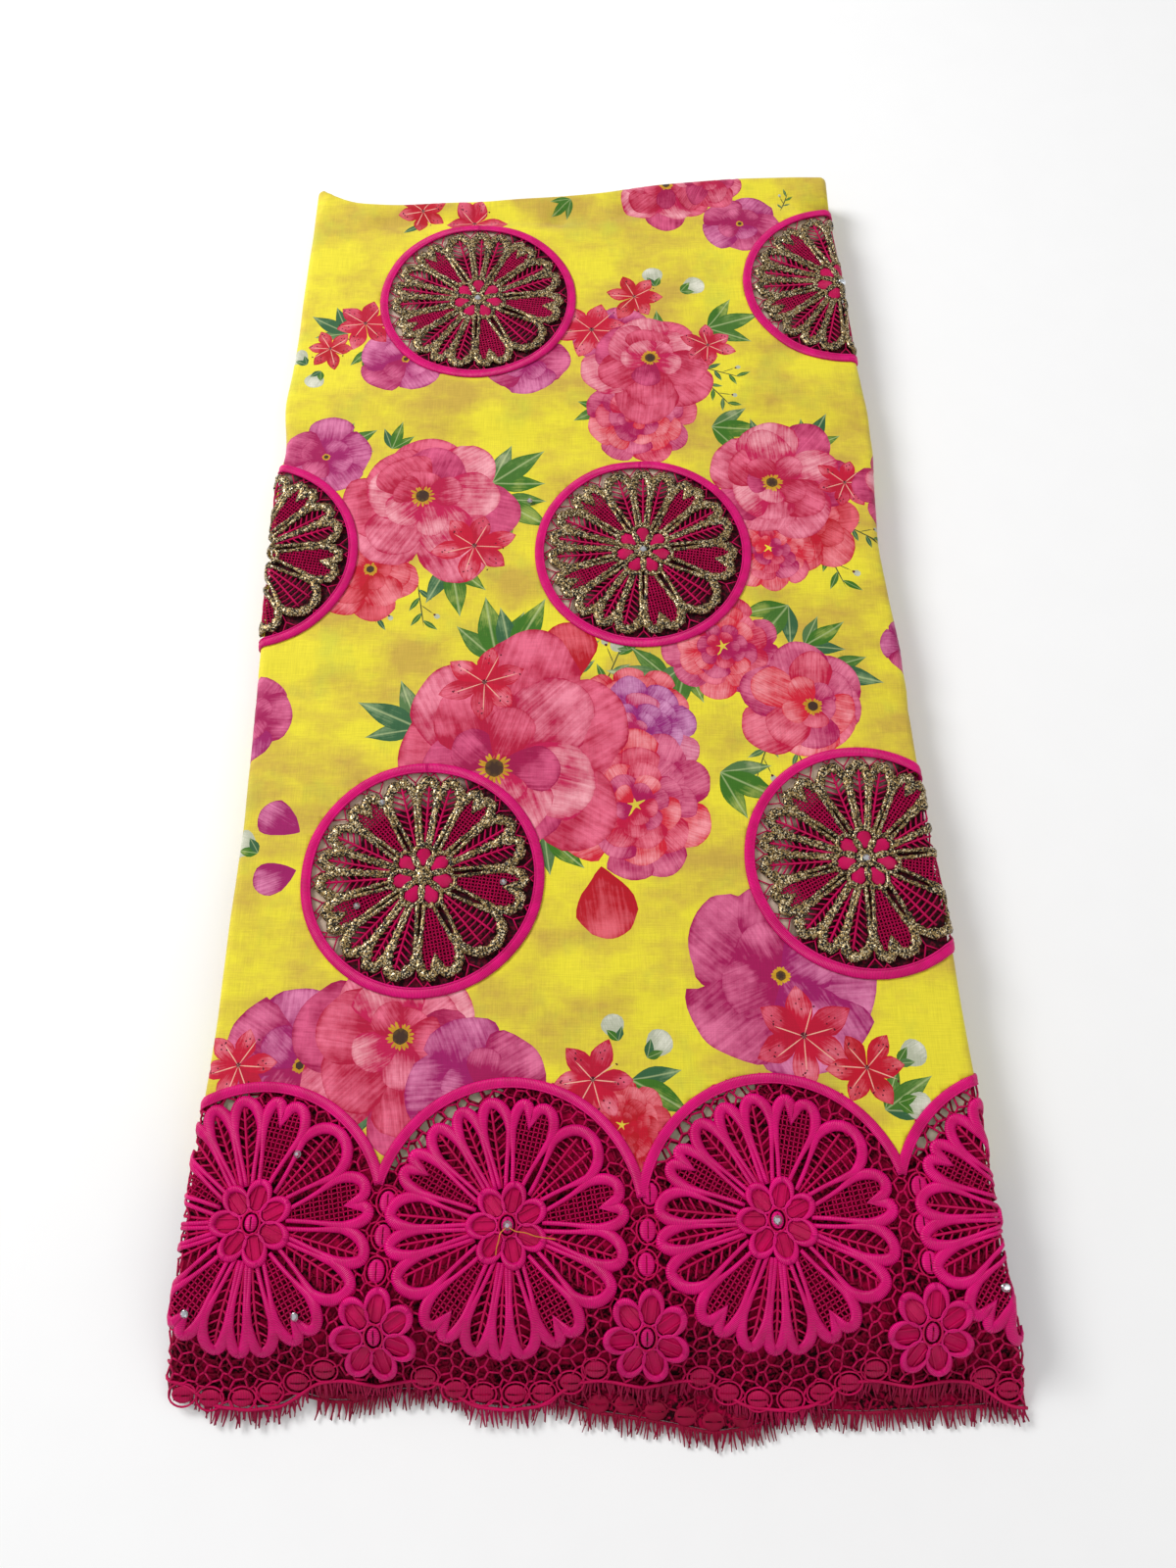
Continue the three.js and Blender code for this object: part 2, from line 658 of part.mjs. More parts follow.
// The scalloped guipure border: flowers, beads and net on one lace wall
function buildBorderLace() {
  const edge = hemRow(hemHeight, TOP_HEM);
  const region = borderRegion(BAND_WIDTH + SEAM_GAP, BAND_POINT - SEAM_GAP, edge);
  const wall = sheetSolid(BORDER_ROWS, 0, LACE_WALL, true, false).intersect(region);
  const seatRadius = BLOSSOM_RADIUS + 2 * SEAM_GAP;
  const seats = joinRegions(BLOSSOMS.map((blossom) => rosetteOutline(blossom, seatRadius)));
  const petals = joinRegions(SCALLOPS.map((s) => petalStar(BORDER_FLOWER, s))).subtract(seats);
  const chain = hemBeads(hemHeight, HEM_BEAD_STEP, HEM_BEADS_A_SIDE);
  const beads = joinRegions([
    ...COLUMN_BEADS.map((bead) => beadOutline(bead, BEAD_SHORT, BEAD_LONG)),
    ...chain.map((bead) => beadOutline(bead, BEAD_LONG, BEAD_SHORT)),
    ...SCALLOPS.map((s) => rosetteOutline(s, ROSETTE_RADIUS)),
  ]);
  const raised = reliefSolid(BORDER_ROWS, PETAL_HEIGHT, false, petals);
  const proud = reliefSolid(BORDER_ROWS, BEAD_HEIGHT, false, beads);
  const gaps = SCALLOPS.flatMap((s) => rimGaps(BORDER_FLOWER, s, s.radius - BAND_WIDTH))
    .filter((gap) => gap.every((p) => insideCloth(p, RELIEF_MARGIN) && p.y > GAPS_FROM));
  const relief = raised.add(proud.subtract(seats)).intersect(region);
  return wall.add(relief).subtract(joinRegions([...gaps, ...netGaps()]));
}

// The straight part of the band's outer line lies below the points of its inner line
const BAND_OUTER_TOP = 70;
function buildScallopBand() {
  const wall = sheetSolid(BORDER_ROWS, 0, SATIN_HEIGHT, true, false);
  const outer = borderRegion(0, BAND_OUTER_TOP, []);
  const inner = borderRegion(BAND_WIDTH, BAND_POINT, []);
  return wall.intersect(outer).subtract(inner);
}

function buildTopCloth() {
  const wall = sheetSolid(CLOTH_ROWS, 0, VOILE_WALL, true, true);
  const holes = MEDALLIONS.map((m) => regionPrism(discOutline(m, MEDALLION_RADIUS + SEAM_GAP, CIRCLE_SIDES)));
  return wall.subtract(joinAll([...holes, borderRegion(-SEAM_GAP, BAND_OUTER_TOP, [])]));
}

function buildMedallionRim(medallion) {
  const wall = sheetSolid(CLOTH_ROWS, 0, SATIN_HEIGHT, true, true);
  const outer = regionPrism(discOutline(medallion, MEDALLION_RADIUS, CIRCLE_SIDES));
  const inner = regionPrism(discOutline(medallion, MEDALLION_RADIUS - RIM_WIDTH, CIRCLE_SIDES));
  return wall.intersect(outer).subtract(inner);
}

function buildMedallionLace(medallion) {
  const radius = MEDALLION_RADIUS - RIM_WIDTH - SEAM_GAP;
  const region = regionPrism(discOutline(medallion, radius, CIRCLE_SIDES));
  const wall = sheetSolid(CLOTH_ROWS, 0, LACE_WALL, true, true).intersect(region);
  const petals = regionPrism(petalStar(MEDALLION_FLOWER, medallion));
  const raised = reliefSolid(CLOTH_ROWS, PETAL_HEIGHT, true, petals);
  const rosette = regionPrism(rosetteOutline(medallion, ROSETTE_RADIUS));
  const proud = reliefSolid(CLOTH_ROWS, BEAD_HEIGHT, true, rosette);
  const gaps = rimGaps(MEDALLION_FLOWER, medallion, radius)
    .filter((gap) => gap.every((p) => insideCloth(p, GAP_MARGIN)));
  return wall.add(raised).add(proud).subtract(joinRegions(gaps));
}

// A small raised flower with seven petals round a bead
function buildBlossom(blossom) {
  const seat = LACE_WALL + SEAM_GAP;
  const petals = sheetSolid(BORDER_ROWS, seat, seat + BLOSSOM_RELIEF, false, false)
    .intersect(regionPrism(rosetteOutline(blossom, BLOSSOM_RADIUS)));
  const heart = sheetSolid(BORDER_ROWS, seat, seat + BLOSSOM_RELIEF + 1, false, false)
    .intersect(regionPrism(heartOutline(blossom)));
  return petals.add(heart);
}

// The second lace layer, whose hem peeks out under the top one
const UNDER_BORDER_TOP = 33;
function buildUnderBorder() {
  const edge = hemRow(underHemHeight, LOWER_HEM);
  const last = edge[edge.length - 1];
  const outline = [...edge, { x: last.x, y: UNDER_BORDER_TOP }, { x: edge[0].x, y: UNDER_BORDER_TOP }];
  return sheetSolid(UNDER_ROWS, UNDER_LACE_LOW, UNDER_LACE_HIGH, false, false)
    .intersect(regionPrism(outline));
}

// A narrow strip along a hem with four-sided strands that stand apart from it and taper to an edge
function buildFringe(height, { from, to, count }, low) {
  const strip = [];
  const comb = [];
  const step = (to - from) / count;
  const half = STRAND_WIDTH / 2;
  for (let k = 0; k < count; k += 1) {
    const x = from + (k + 0.5) * step;
    const root = height(x) - FRINGE_GAP - FRINGE_STRIP;
    const long = FRINGE_LENGTH + STRAND_VARIATION * Math.sin(STRAND_LONG_TURN * k);
    comb.push({ x: x - half, y: root });
    comb.push({ x: x + STRAND_LEAN * Math.sin(STRAND_LEAN_TURN * k), y: root - long });
    comb.push({ x: x + half, y: root });
    if (k % 2 === 0 || k === count - 1) strip.push({ x, y: height(x) - FRINGE_GAP });
  }
  const outline = [...comb, ...strip.reverse()];
  const upper = outline.map((p) => onSurface(p.x, p.y, low + FRINGE_WALL));
  const lower = outline.map((p) => onSurface(p.x, p.y, low));
  return toSolid(closeWall(upper, lower, capTriangles(outline), outline.length));
}

const FINISH = {
  voile: new THREE.MeshStandardMaterial({ color: 0xe8dc2e, roughness: 0.8, metalness: 0 }),
  layers: new THREE.MeshStandardMaterial({ color: 0xd9c83a, roughness: 0.85, metalness: 0 }),
  lace: new THREE.MeshStandardMaterial({ color: 0xb3126a, roughness: 0.75, metalness: 0 }),
  satin: new THREE.MeshStandardMaterial({ color: 0xd6157d, roughness: 0.4, metalness: 0 }),
  under: new THREE.MeshStandardMaterial({ color: 0x8a0f3c, roughness: 0.75, metalness: 0 }),
};

const model = new THREE.Group();
function addPiece(name, solid, material) {
  const mesh = new THREE.Mesh(toGeometry(solid), material);
  mesh.name = name;
  model.add(mesh);
}

addPiece('folded_layers', buildPile(), FINISH.layers);
addPiece('top_cloth', buildTopCloth(), FINISH.voile);
MEDALLIONS.forEach((medallion) => {
  addPiece(`${medallion.name}_lace`, buildMedallionLace(medallion), FINISH.lace);
  addPiece(`${medallion.name}_rim`, buildMedallionRim(medallion), FINISH.satin);
});
addPiece('border_lace', buildBorderLace(), FINISH.lace);
addPiece('scallop_band', buildScallopBand(), FINISH.satin);
BLOSSOMS.forEach((blossom) => addPiece(blossom.name, buildBlossom(blossom), FINISH.satin));
addPiece('under_border', buildUnderBorder(), FINISH.under);
addPiece('fringe_top', buildFringe(hemHeight, TOP_FRINGE, 0), FINISH.lace);
addPiece('fringe_under', buildFringe(underHemHeight, UNDER_FRINGE, UNDER_LACE_LOW), FINISH.under);

// The origin lies under the middle of the footprint
const footprint = new THREE.Box3().setFromObject(model);
const centre = footprint.getCenter(new THREE.Vector3());
model.position.set(-centre.x, -centre.y, -footprint.min.z);
model.updateMatrixWorld(true);

export default model;
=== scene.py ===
"""A folded length of printed voile with round guipure insets and a guipure border, dressed on its frame.

Plan places are millimetres from the hem line, x across the cloth and y away from the hem, as the
construction has them. A flat place is one on the cloth before its edges fold: past the folded edge it
runs down round the fold.
"""
import math

import bpy
import numpy as np
from mathutils.geometry import delaunay_2d_cdt
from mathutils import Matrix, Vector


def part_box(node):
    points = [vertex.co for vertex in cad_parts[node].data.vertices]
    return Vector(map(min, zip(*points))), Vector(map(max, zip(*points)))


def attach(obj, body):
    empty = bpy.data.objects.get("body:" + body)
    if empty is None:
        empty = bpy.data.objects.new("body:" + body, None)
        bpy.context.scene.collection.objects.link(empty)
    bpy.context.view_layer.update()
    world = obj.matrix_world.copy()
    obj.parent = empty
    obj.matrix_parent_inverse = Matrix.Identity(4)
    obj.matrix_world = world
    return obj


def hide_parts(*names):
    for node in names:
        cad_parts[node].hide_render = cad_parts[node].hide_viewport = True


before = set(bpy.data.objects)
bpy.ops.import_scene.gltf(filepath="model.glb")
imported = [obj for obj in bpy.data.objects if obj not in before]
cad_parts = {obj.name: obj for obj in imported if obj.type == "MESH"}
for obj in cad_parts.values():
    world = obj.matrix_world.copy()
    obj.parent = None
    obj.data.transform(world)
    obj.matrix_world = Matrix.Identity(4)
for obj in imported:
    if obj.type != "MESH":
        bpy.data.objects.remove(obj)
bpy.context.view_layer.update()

# Driving sizes, millimetres
VOILE_THICK = 0.5
MEDALLION_RADIUS = 55
RIM_WIDTH = 4.8
BAND_WIDTH = 4.3
EDGE_INSET = 4.7
EDGE_CURL = 3.5
FOLD_REACH = 7.6
BAND_POINT = 83
# Degrees that a band's arc runs on past its crossing with the next
BAND_PAST = 1.6
CLOTH_STEP = 4.6
PILE_DROP = 1.9
# How the curl round a fold shrinks where the pile is thin, and how far it turns, in radians
CURL_FLOOR = 1.4
CURL_SHARE = 1.4
LEAST_CURL = 0.4
CURL_TURN = 2.25
# How far cloth runs in under satin, and the lifts of the shaded layers
UNDER_SATIN = 2
INSET_SHADE_LIFT = -0.5
CRESCENT_LIFT = -0.9
# Room round a bead that the net keeps clear, and the nets' left side and width
BEAD_CLEAR = 4.0
NET_LEFT, NET_WIDE = -178, 370
# Lifts of lace threads over the cloth's surface
NET_LIFT = 0.6
SATIN_LIFT = 1.2
# The hidden layers: folds that show at the side, rows round each, rows across the top and their middle
SIDE_FOLDS = 11
FOLD_ROWS = 6
TOP_ROWS = 24
PILE_MIDDLE = (0.0, 320.0)
PILE_NEAR, PILE_FAR = 20, 598

# The cloth's left and right edges along its length, and its far edge across
EDGES = {
    "y": (-20, 3, 27, 44, 82, 118, 148, 185, 234, 277, 322, 358, 388, 423, 447, 470, 515, 560, 600),
    "left": (-172, -171, -166, -164.5, -164, -162, -161, -161, -160, -161, -162, -163, -163, -164,
             -160.5, -164.5, -162, -161.5, -160),
    "right": (181, 178, 171, 168, 166, 165, 163, 161.5, 158, 156, 155.5, 152, 149.5, 151, 152.5, 152,
              147.5, 144.5, 142),
}
FAR_EDGE = {
    "x": (-160, -141, -116, -64, -37, 0, 28, 58, 98, 142),
    "y": (635, 622, 619, 622, 625, 629, 635, 639, 642, 642),
}
# Height of the pile's top along its length; swells and creases start past the flat's near side
HEIGHTS = {
    "y": (-20, -6, 3, 11, 19, 28, 36, 44, 120, 185, 245, 300, 660),
    "z": (2.2, 2.5, 4, 8.8, 15.3, 21.5, 24.4, 25, 25, 23.4, 21.7, 21, 21),
}
FLAT_FROM = 44
# Creases across the top layer: x1, y1, x2, y2, rise (negative in a trough), reach
CREASES = (
    (-118, 604, -17, 609, -2.4, 6),
    (-17, 609, 62, 620, -2.8, 6),
    (62, 620, 132, 621, -2.2, 6),
    (-150, 452, 20, 446, -1.5, 9),
    (20, 446, 148, 458, -1.3, 9),
    (-152, 476, 130, 482, 1.5, 14),
    (96, 352, 150, 318, -1.8, 7),
    (110, 306, 152, 297, -1.4, 6),
    (-152, 312, -96, 296, -1.3, 7),
    (-60, 306, 60, 286, 1.0, 16),
    (10, 168, 96, 142, 1.2, 12),
)
# Slow swells: rise, and millimetres to a radian across and along
SWELLS = ((0.5, 37, 61), (0.4, 53, -29))
# Middles of the insets
MEDALLIONS = {
    "medallion_1": (-61.7, 545.8),
    "medallion_2": (142.5, 557.8),
    "medallion_3": (-171.9, 381.2),
    "medallion_4": (27.9, 382.3),
    "medallion_5": (-74.5, 210.9),
    "medallion_6": (126, 219.2),
}
# Border flowers: x, y and the radius of the scallop over each
SCALLOPS = ((-135.3, 66.4, 55), (-32.3, 65.6, 57.5), (76.2, 67.5, 57.5), (181.9, 69.3, 58.5))
# Middles of the raised flowers
BLOSSOMS = {
    "border_blossom_1": (-84.2, 26),
    "border_blossom_2": (23.2, 25.6),
    "border_blossom_3": (135, 27.6),
}
# The border's hem by the distance from a flower's middle, and the second layer's hem across
HEM = {"away": (0, 14, 27, 38, 54), "y": (-3.5, -2, 7, 8, 5)}
UNDER_HEM = {
    "x": (-172, -120, -104, -92, -80, -20, -2, 28, 50, 66, 82, 110, 150, 181),
    "y": (4, 3, -1, -1, 3, 3, -4, -8, -12, -10, -4, -5, -3, -1),
}
# Middles of the satin beads: upright between the flowers, along the hem, and along the second hem
COLUMN_BEADS = (
    (-81, 74.1), (-82.2, 61.6), (-84, 48.7), (25, 77.4), (24, 63.8),
    (23.2, 51.2), (135, 80), (135, 65.6), (136, 51.9),
)
HEM_BEADS = (
    (-162, 2.4), (-151, 1), (-138, 1), (-127, 3.2), (-116, 7.3), (-105, 12), (-65, 9.2), (-53, 4.3),
    (-42, 2.8), (-29, 2.8), (-18, 3.2), (-7, 7.3), (3, 12.4), (45, 9.2), (56, 3.2), (68, 0.6),
    (81, 0.6), (93, 3.2), (104, 7), (114, 12.4), (158, 9.2), (168, 4.2),
)
UNDER_BEADS = (
    (-105, 3.6), (-93, 2.8), (4, -1.6), (15, -1.7), (27, -4.2), (39, -6), (50, -7.8), (62, -6.7),
    (126, 1.4), (137, 1.6),
)

# Clock angles of a lace flower's petals, 0 towards the far side
MEDALLION_PETALS = {
    "net": (35, 98, 168, 243, 318),
    "ladder": (133,),
    "vein": (1, 14, 58, 70, 193, 207, 222, 266, 280, 295, 344),
}
BORDER_PETALS = {
    "net": (12, 80, 150, 215, 300),
    "ladder": (45,),
    "vein": (105, 120, 172, 183, 195, 245, 260, 275, 320, 335, 350),
}

medallion_low, medallion_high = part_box("medallion_5_rim")
SHIFT_X = 500 * (medallion_low[0] + medallion_high[0]) - MEDALLIONS["medallion_5"][0]
SHIFT_Y = 500 * (medallion_low[1] + medallion_high[1]) - MEDALLIONS["medallion_5"][1]


# The shape of the cloth

def read_smooth(at, keys, values, reach):
    """A table read between its rows and rounded at them: the mean of five readings across a reach."""
    at = np.asarray(at, float)
    steps = reach * np.linspace(-1, 1, 5)
    return sum(np.interp(at + step, keys, values) for step in steps) / len(steps)


def left_fold(y):
    """Inner line of the left fold: the cloth's edge at y, in by the inset."""
    return read_smooth(y, EDGES["y"], EDGES["left"], 7) + EDGE_INSET


def right_fold(y):
    """Inner line of the right fold: the cloth's edge at y, in by the inset."""
    return read_smooth(y, EDGES["y"], EDGES["right"], 7) - EDGE_INSET


def far_fold(x):
    """Inner line of the far fold: the cloth's edge at x, in by the inset."""
    return read_smooth(x, FAR_EDGE["x"], FAR_EDGE["y"], 9) - EDGE_INSET


def surface(x, y):
    """Height of the pile's top: the table along the length, slow swells, each crease as its rise times
    exp(-(distance / reach) squared), and fine ripples along and across the voile."""
    base = read_smooth(y, HEIGHTS["y"], HEIGHTS["z"], 3.5)
    extra = sum(rise * np.sin(x / across + y / along) for rise, across, along in SWELLS)
    for x1, y1, x2, y2, rise, reach in CREASES:
        dx, dy = x2 - x1, y2 - y1
        along = np.clip(((x - x1) * dx + (y - y1) * dy) / (dx * dx + dy * dy), 0, 1)
        away = np.hypot(x - x1 - along * dx, y - y1 - along * dy)
        extra = extra + rise * np.exp(-(away / reach) ** 2)
    ripple = 0.16 * np.sin(y / 5.1 + 1.7 * np.sin(x / 31)) + 0.12 * np.sin(x / 6.3 + 1.9 * np.sin(y / 23))
    flat = np.clip((y - FLAT_FROM) / 30, 0, 1)
    return base + flat * (extra + ripple * np.clip((y - 125) / 40, 0, 1))


def fold_over(flat, lift):
    """Flat places carried onto the folded cloth, and the way out of the cloth there. A place past the
    inner line of a fold goes down round it by an angle of its distance over the fold's radius."""
    flat = np.asarray(flat, float)
    x, y = flat[:, 0], flat[:, 1]
    inner_x = np.clip(x, left_fold(y), right_fold(y))
    inner_y = np.minimum(y, far_fold(inner_x))
    over_x, over_y = x - inner_x, y - inner_y
    over = np.hypot(over_x, over_y)
    height = surface(inner_x, inner_y)
    slope_x = (surface(inner_x + 1, inner_y) - surface(inner_x - 1, inner_y)) / 2
    slope_y = (surface(inner_x, inner_y + 1) - surface(inner_x, inner_y - 1)) / 2
    up = unit(np.stack([-slope_x, -slope_y, np.ones_like(x)], 1))
    safe = np.maximum(over, 1e-9)
    out = np.stack([over_x / safe, over_y / safe, np.zeros_like(x)], 1)
    radius = np.clip((height - CURL_FLOOR) / CURL_SHARE, LEAST_CURL, EDGE_CURL)
    angle = np.minimum(over / radius, CURL_TURN)[:, None]
    normal = out * np.sin(angle) + up * np.cos(angle)
    centre = np.stack([inner_x, inner_y, height], 1) - up * radius[:, None]
    return centre + normal * (radius[:, None] + np.reshape(lift, (-1, 1))), normal


def past_fold(flat):
    """How far a flat place lies past the inner lines of the folds."""
    x, y = flat[:, 0], flat[:, 1]
    inner_x = np.clip(x, left_fold(y), right_fold(y))
    return np.hypot(x - inner_x, y - np.minimum(y, far_fold(inner_x)))


def unit(vectors):
    """Rows of vectors, each divided by its length."""
    return vectors / np.maximum(np.linalg.norm(vectors, axis=1), 1e-9)[:, None]


def to_metres(points):
    """Plan places moved to the frame's origin and turned from millimetres to metres."""
    return (points + (SHIFT_X, SHIFT_Y, 0)) / 1000


def clock(centre, angle, radius):
    """Flat places at clock angles, in degrees from the far side, and radii round a centre."""
    turn = np.radians(angle)
    return np.stack([centre[0] + radius * np.sin(turn), centre[1] + radius * np.cos(turn)], -1)


def turned(centre, angle, along, across):
    """Flat places at distances along a clock angle and to the right of it."""
    turn = math.radians(angle)
    return np.stack([centre[0] + along * math.sin(turn) + across * math.cos(turn),
                     centre[1] + along * math.cos(turn) - across * math.sin(turn)], -1)


def distance(flat, x, y):
    """Distances of flat places from one place."""
    return np.hypot(flat[:, 0] - x, flat[:, 1] - y)


def refined(line, count):
    """A line read at more places, even in its steps, and each place's share of them."""
    at = np.linspace(0, len(line) - 1, count)
    return np.stack([np.interp(at, np.arange(len(line)), line[:, k]) for k in range(2)], 1), at


# Meshes

class Stitched:
    """Collects parts of one piece: points, a finish, UVs and faces in groups of one corner count each."""

    def __init__(self):
        self.points, self.faces, self.uvs, self.finish, self.count = [], [], [], [], 0

    def add(self, points, finish, uv, *groups):
        for faces in groups:
            self.faces.append(faces + self.count)
            self.uvs.append(uv[faces.ravel()])
            self.finish.append(np.full(len(faces), finish))
        self.points.append(points)
        self.count += len(points)

    def make(self, name, materials, replaced, smooth=True):
        """One mesh of all parts, in metres, riding on the root body."""
        sizes = np.concatenate([np.full(len(f), f.shape[1]) for f in self.faces])
        corners = np.concatenate([f.ravel() for f in self.faces])
        mesh = new_mesh(name, np.concatenate(self.points), corners, sizes)
        mesh.uv_layers.new(name="thread").data.foreach_set("uv", np.concatenate(self.uvs).ravel())
        for material in materials:
            mesh.materials.append(material)
        mesh.polygons.foreach_set("material_index", np.concatenate(self.finish).astype(np.int32))
        mesh.polygons.foreach_set("use_smooth", np.full(len(sizes), smooth))
        mesh.update()
        return place(name, mesh, replaced)


def new_mesh(name, points, corners, sizes):
    """A mesh from whole arrays: points, all faces' corners in one row, and each face's corner count."""
    mesh = bpy.data.meshes.new(name)
    mesh.vertices.add(len(points))
    mesh.vertices.foreach_set("co", to_metres(points).ravel())
    mesh.loops.add(len(corners))
    mesh.loops.foreach_set("vertex_index", np.asarray(corners, np.int32))
    mesh.polygons.add(len(sizes))
    starts = np.concatenate([[0], np.cumsum(sizes)[:-1]])
    mesh.polygons.foreach_set("loop_start", starts.astype(np.int32))
    mesh.polygons.foreach_set("loop_total", np.asarray(sizes, np.int32))
    mesh.update(calc_edges=True)
    return mesh


def place(name, mesh, replaced):
    """Puts a mesh in the scene, riding on the root body and standing for its construction nodes."""
    piece = bpy.data.objects.new(name, mesh)
    bpy.context.scene.collection.objects.link(piece)
    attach(piece, "root")
    if replaced:
        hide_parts(*replaced)
    return piece


def grid_faces(rows, columns, closed=False):
    """Quads of a grid whose nodes run along each row, facing up where rows run away and columns right."""
    wide = columns if closed else columns - 1
    j, i = np.meshgrid(np.arange(rows - 1), np.arange(wide), indexing="ij")
    a = (j * columns + i).ravel()
    b = (j * columns + (i + 1) % columns).ravel()
    return np.stack([a, b, b + columns, a + columns], 1)


def runs_in(keep):
    """Starts and ends of the stretches where keep is true, of two places or more."""
    edges = np.flatnonzero(np.diff(np.concatenate([[0], keep.astype(int), [0]])))
    return [(a, b) for a, b in edges.reshape(-1, 2) if b - a >= 2]


def sweep(stitched, path, half_width, half_height, lift, finish, sides=6, closed=False):
    """A cord along a flat path: an oval section, half_width across and half_height out of the cloth, is
    carried along it and turned with the cloth. Stretches past the fold's end are left off."""
    path = np.asarray(path, float)
    count = len(path)
    width = np.broadcast_to(half_width, count)
    height = np.broadcast_to(half_height, count)
    raise_by = np.broadcast_to(lift, count)
    keep = past_fold(path) < FOLD_REACH
    whole = closed and keep.all()
    if closed and not whole:
        order = np.roll(np.arange(count), -int(np.argmin(keep)))
        path, width, height, raise_by, keep = (a[order] for a in (path, width, height, raise_by, keep))
    for start, end in ([(0, count)] if whole else runs_in(keep)):
        part = path[start:end]
        points, up = fold_over(part, raise_by[start:end])
        if whole:
            along = np.roll(points, -1, 0) - np.roll(points, 1, 0)
        else:
            along = np.gradient(points, axis=0)
        side = unit(np.cross(up, unit(along)))
        turn = 2 * math.pi * (np.arange(sides) + 0.5) / sides
        ring = (np.cos(turn)[None, :, None] * side[:, None] * width[start:end, None, None]
                + np.sin(turn)[None, :, None] * up[:, None] * height[start:end, None, None])
        shell = (points[:, None] + ring).reshape(-1, 3)
        steps = np.linalg.norm(np.diff(points, axis=0), axis=1)
        length = np.concatenate([[0], np.cumsum(steps)])
        uv = np.stack([np.repeat(length, sides), np.tile(np.arange(sides) / sides, len(part))], 1)
        faces = grid_faces(len(part), sides, closed=True)
        if whole:
            last = (len(part) - 1) * sides
            i = np.arange(sides)
            seam = np.stack([last + i, last + (i + 1) % sides, (i + 1) % sides, i], 1)
            stitched.add(shell, finish, uv, np.concatenate([faces, seam]))
            continue
        low, high = len(shell), len(shell) + 1
        last = (len(part) - 1) * sides
        i = np.arange(sides)
        j = (i + 1) % sides
        caps = np.stack([np.concatenate([j, last + i]), np.concatenate([i, last + j]),
                         np.repeat([low, high], sides)], 1)
        shell = np.concatenate([shell, points[:1], points[-1:]])
        uv = np.concatenate([uv, [[0, 0], [length[-1], 0]]])
        stitched.add(shell, finish, uv, faces, caps)


def threads(stitched, starts, ends, radius, lift, finish, sides=3):
    """Straight threads between flat places, each a closed prism of a few sides."""
    starts, ends = np.asarray(starts, float).reshape(-1, 2), np.asarray(ends, float).reshape(-1, 2)
    keep = (past_fold(starts) < FOLD_REACH) & (past_fold(ends) < FOLD_REACH)
    starts, ends = starts[keep], ends[keep]
    if not len(starts):
        return
    count = len(starts)
    a, up = fold_over(starts, np.full(count, lift))
    b, _ = fold_over(ends, np.full(count, lift))
    long = np.linalg.norm(b - a, axis=1)
    along = unit(b - a)
    side = unit(np.cross(up, along))
    out = np.cross(along, side)
    turn = 2 * math.pi * np.arange(sides) / sides + math.pi / 2
    ring = radius * (np.cos(turn)[None, :, None] * side[:, None] + np.sin(turn)[None, :, None] * out[:, None])
    points = np.concatenate([a[:, None] + ring, b[:, None] + ring], 1).reshape(-1, 3)
    i = np.arange(sides)
    j = (i + 1) % sides
    base = 2 * sides * np.arange(count)[:, None, None]
    walls = (np.stack([i, j, j + sides, i + sides], 1)[None] + base).reshape(-1, 4)
    if sides == 3:
        ends_of = np.array([[2, 1, 0], [3, 4, 5]])
    else:
        ends_of = np.array([[3, 2, 1], [3, 1, 0], [4, 5, 6], [4, 6, 7]])
    caps = (ends_of[None] + base).reshape(-1, 3)
    uv = np.stack([np.repeat(np.stack([0 * long, long], 1).ravel(), sides),
                   np.tile(np.arange(sides) / sides, 2 * count)], 1)
    stitched.add(points, finish, uv, walls, caps)


def dome(stitched, centre, angle, long, wide, rise, lift, finish, rings=4, around=14, cut=0.0):
    """An oval satin pad: rings shrink to its middle as the height follows a quarter circle. The cut is
    the depth of the slit along its long axis."""
    turn = 2 * math.pi * np.arange(around) / around
    share = np.cos(0.5 * math.pi * np.arange(rings) / rings)
    rise_at = np.sin(0.5 * math.pi * np.arange(rings) / rings)
    u = (share[:, None] * np.cos(turn)[None]).ravel()
    v = (share[:, None] * np.sin(turn)[None]).ravel()
    height = lift + rise * np.repeat(rise_at, around) - cut * np.exp(-(v / 0.14) ** 2) * (np.abs(u) < 0.9)
    u, v = np.append(u, 0), np.append(v, 0)
    height = np.append(height, lift + rise - cut)
    flat = turned(centre, angle, long * u, wide * v)
    if past_fold(flat).max() > FOLD_REACH:
        return
    points, _ = fold_over(flat, height)
    low, _ = fold_over(flat[:around], np.full(around, lift - 0.25))
    under, _ = fold_over(np.asarray([centre], float), [lift - 0.25])
    points = np.concatenate([points, low, under])
    uv = np.stack([np.concatenate([u * long, u[:around] * long, [0]]),
                   np.concatenate([v, v[:around], [0]])], 1)
    i = np.arange(around)
    j = (i + 1) % around
    top = rings * around
    walls = grid_faces(rings, around, closed=True)[:, ::-1]
    skirt = np.stack([i, j, j + top + 1, i + top + 1], 1)
    tip = (rings - 1) * around
    caps = np.concatenate([
        np.stack([j + tip, i + tip, np.full(around, top)], 1),
        np.stack([i + top + 1, j + top + 1, np.full(around, top + 1 + around)], 1),
    ])
    stitched.add(points, finish, uv, np.concatenate([walls, skirt]), caps)


# Print: ordinary peonies, lilies, leaves and buds, each petal a formula on the flat cloth

ROUND, POINTED, LEAF, LINE = 0, 1, 2, 3
# Half width along a petal: sin(pi * u ** skew) ** bluntness
FORMS = {ROUND: (1.55, 0.55), POINTED: (1.15, 0.95), LEAF: (0.85, 1.25), LINE: (1.0, 0.2)}
PETAL_KIND, LEAF_KIND, PLAIN_KIND = 1.0, 0.5, 0.25
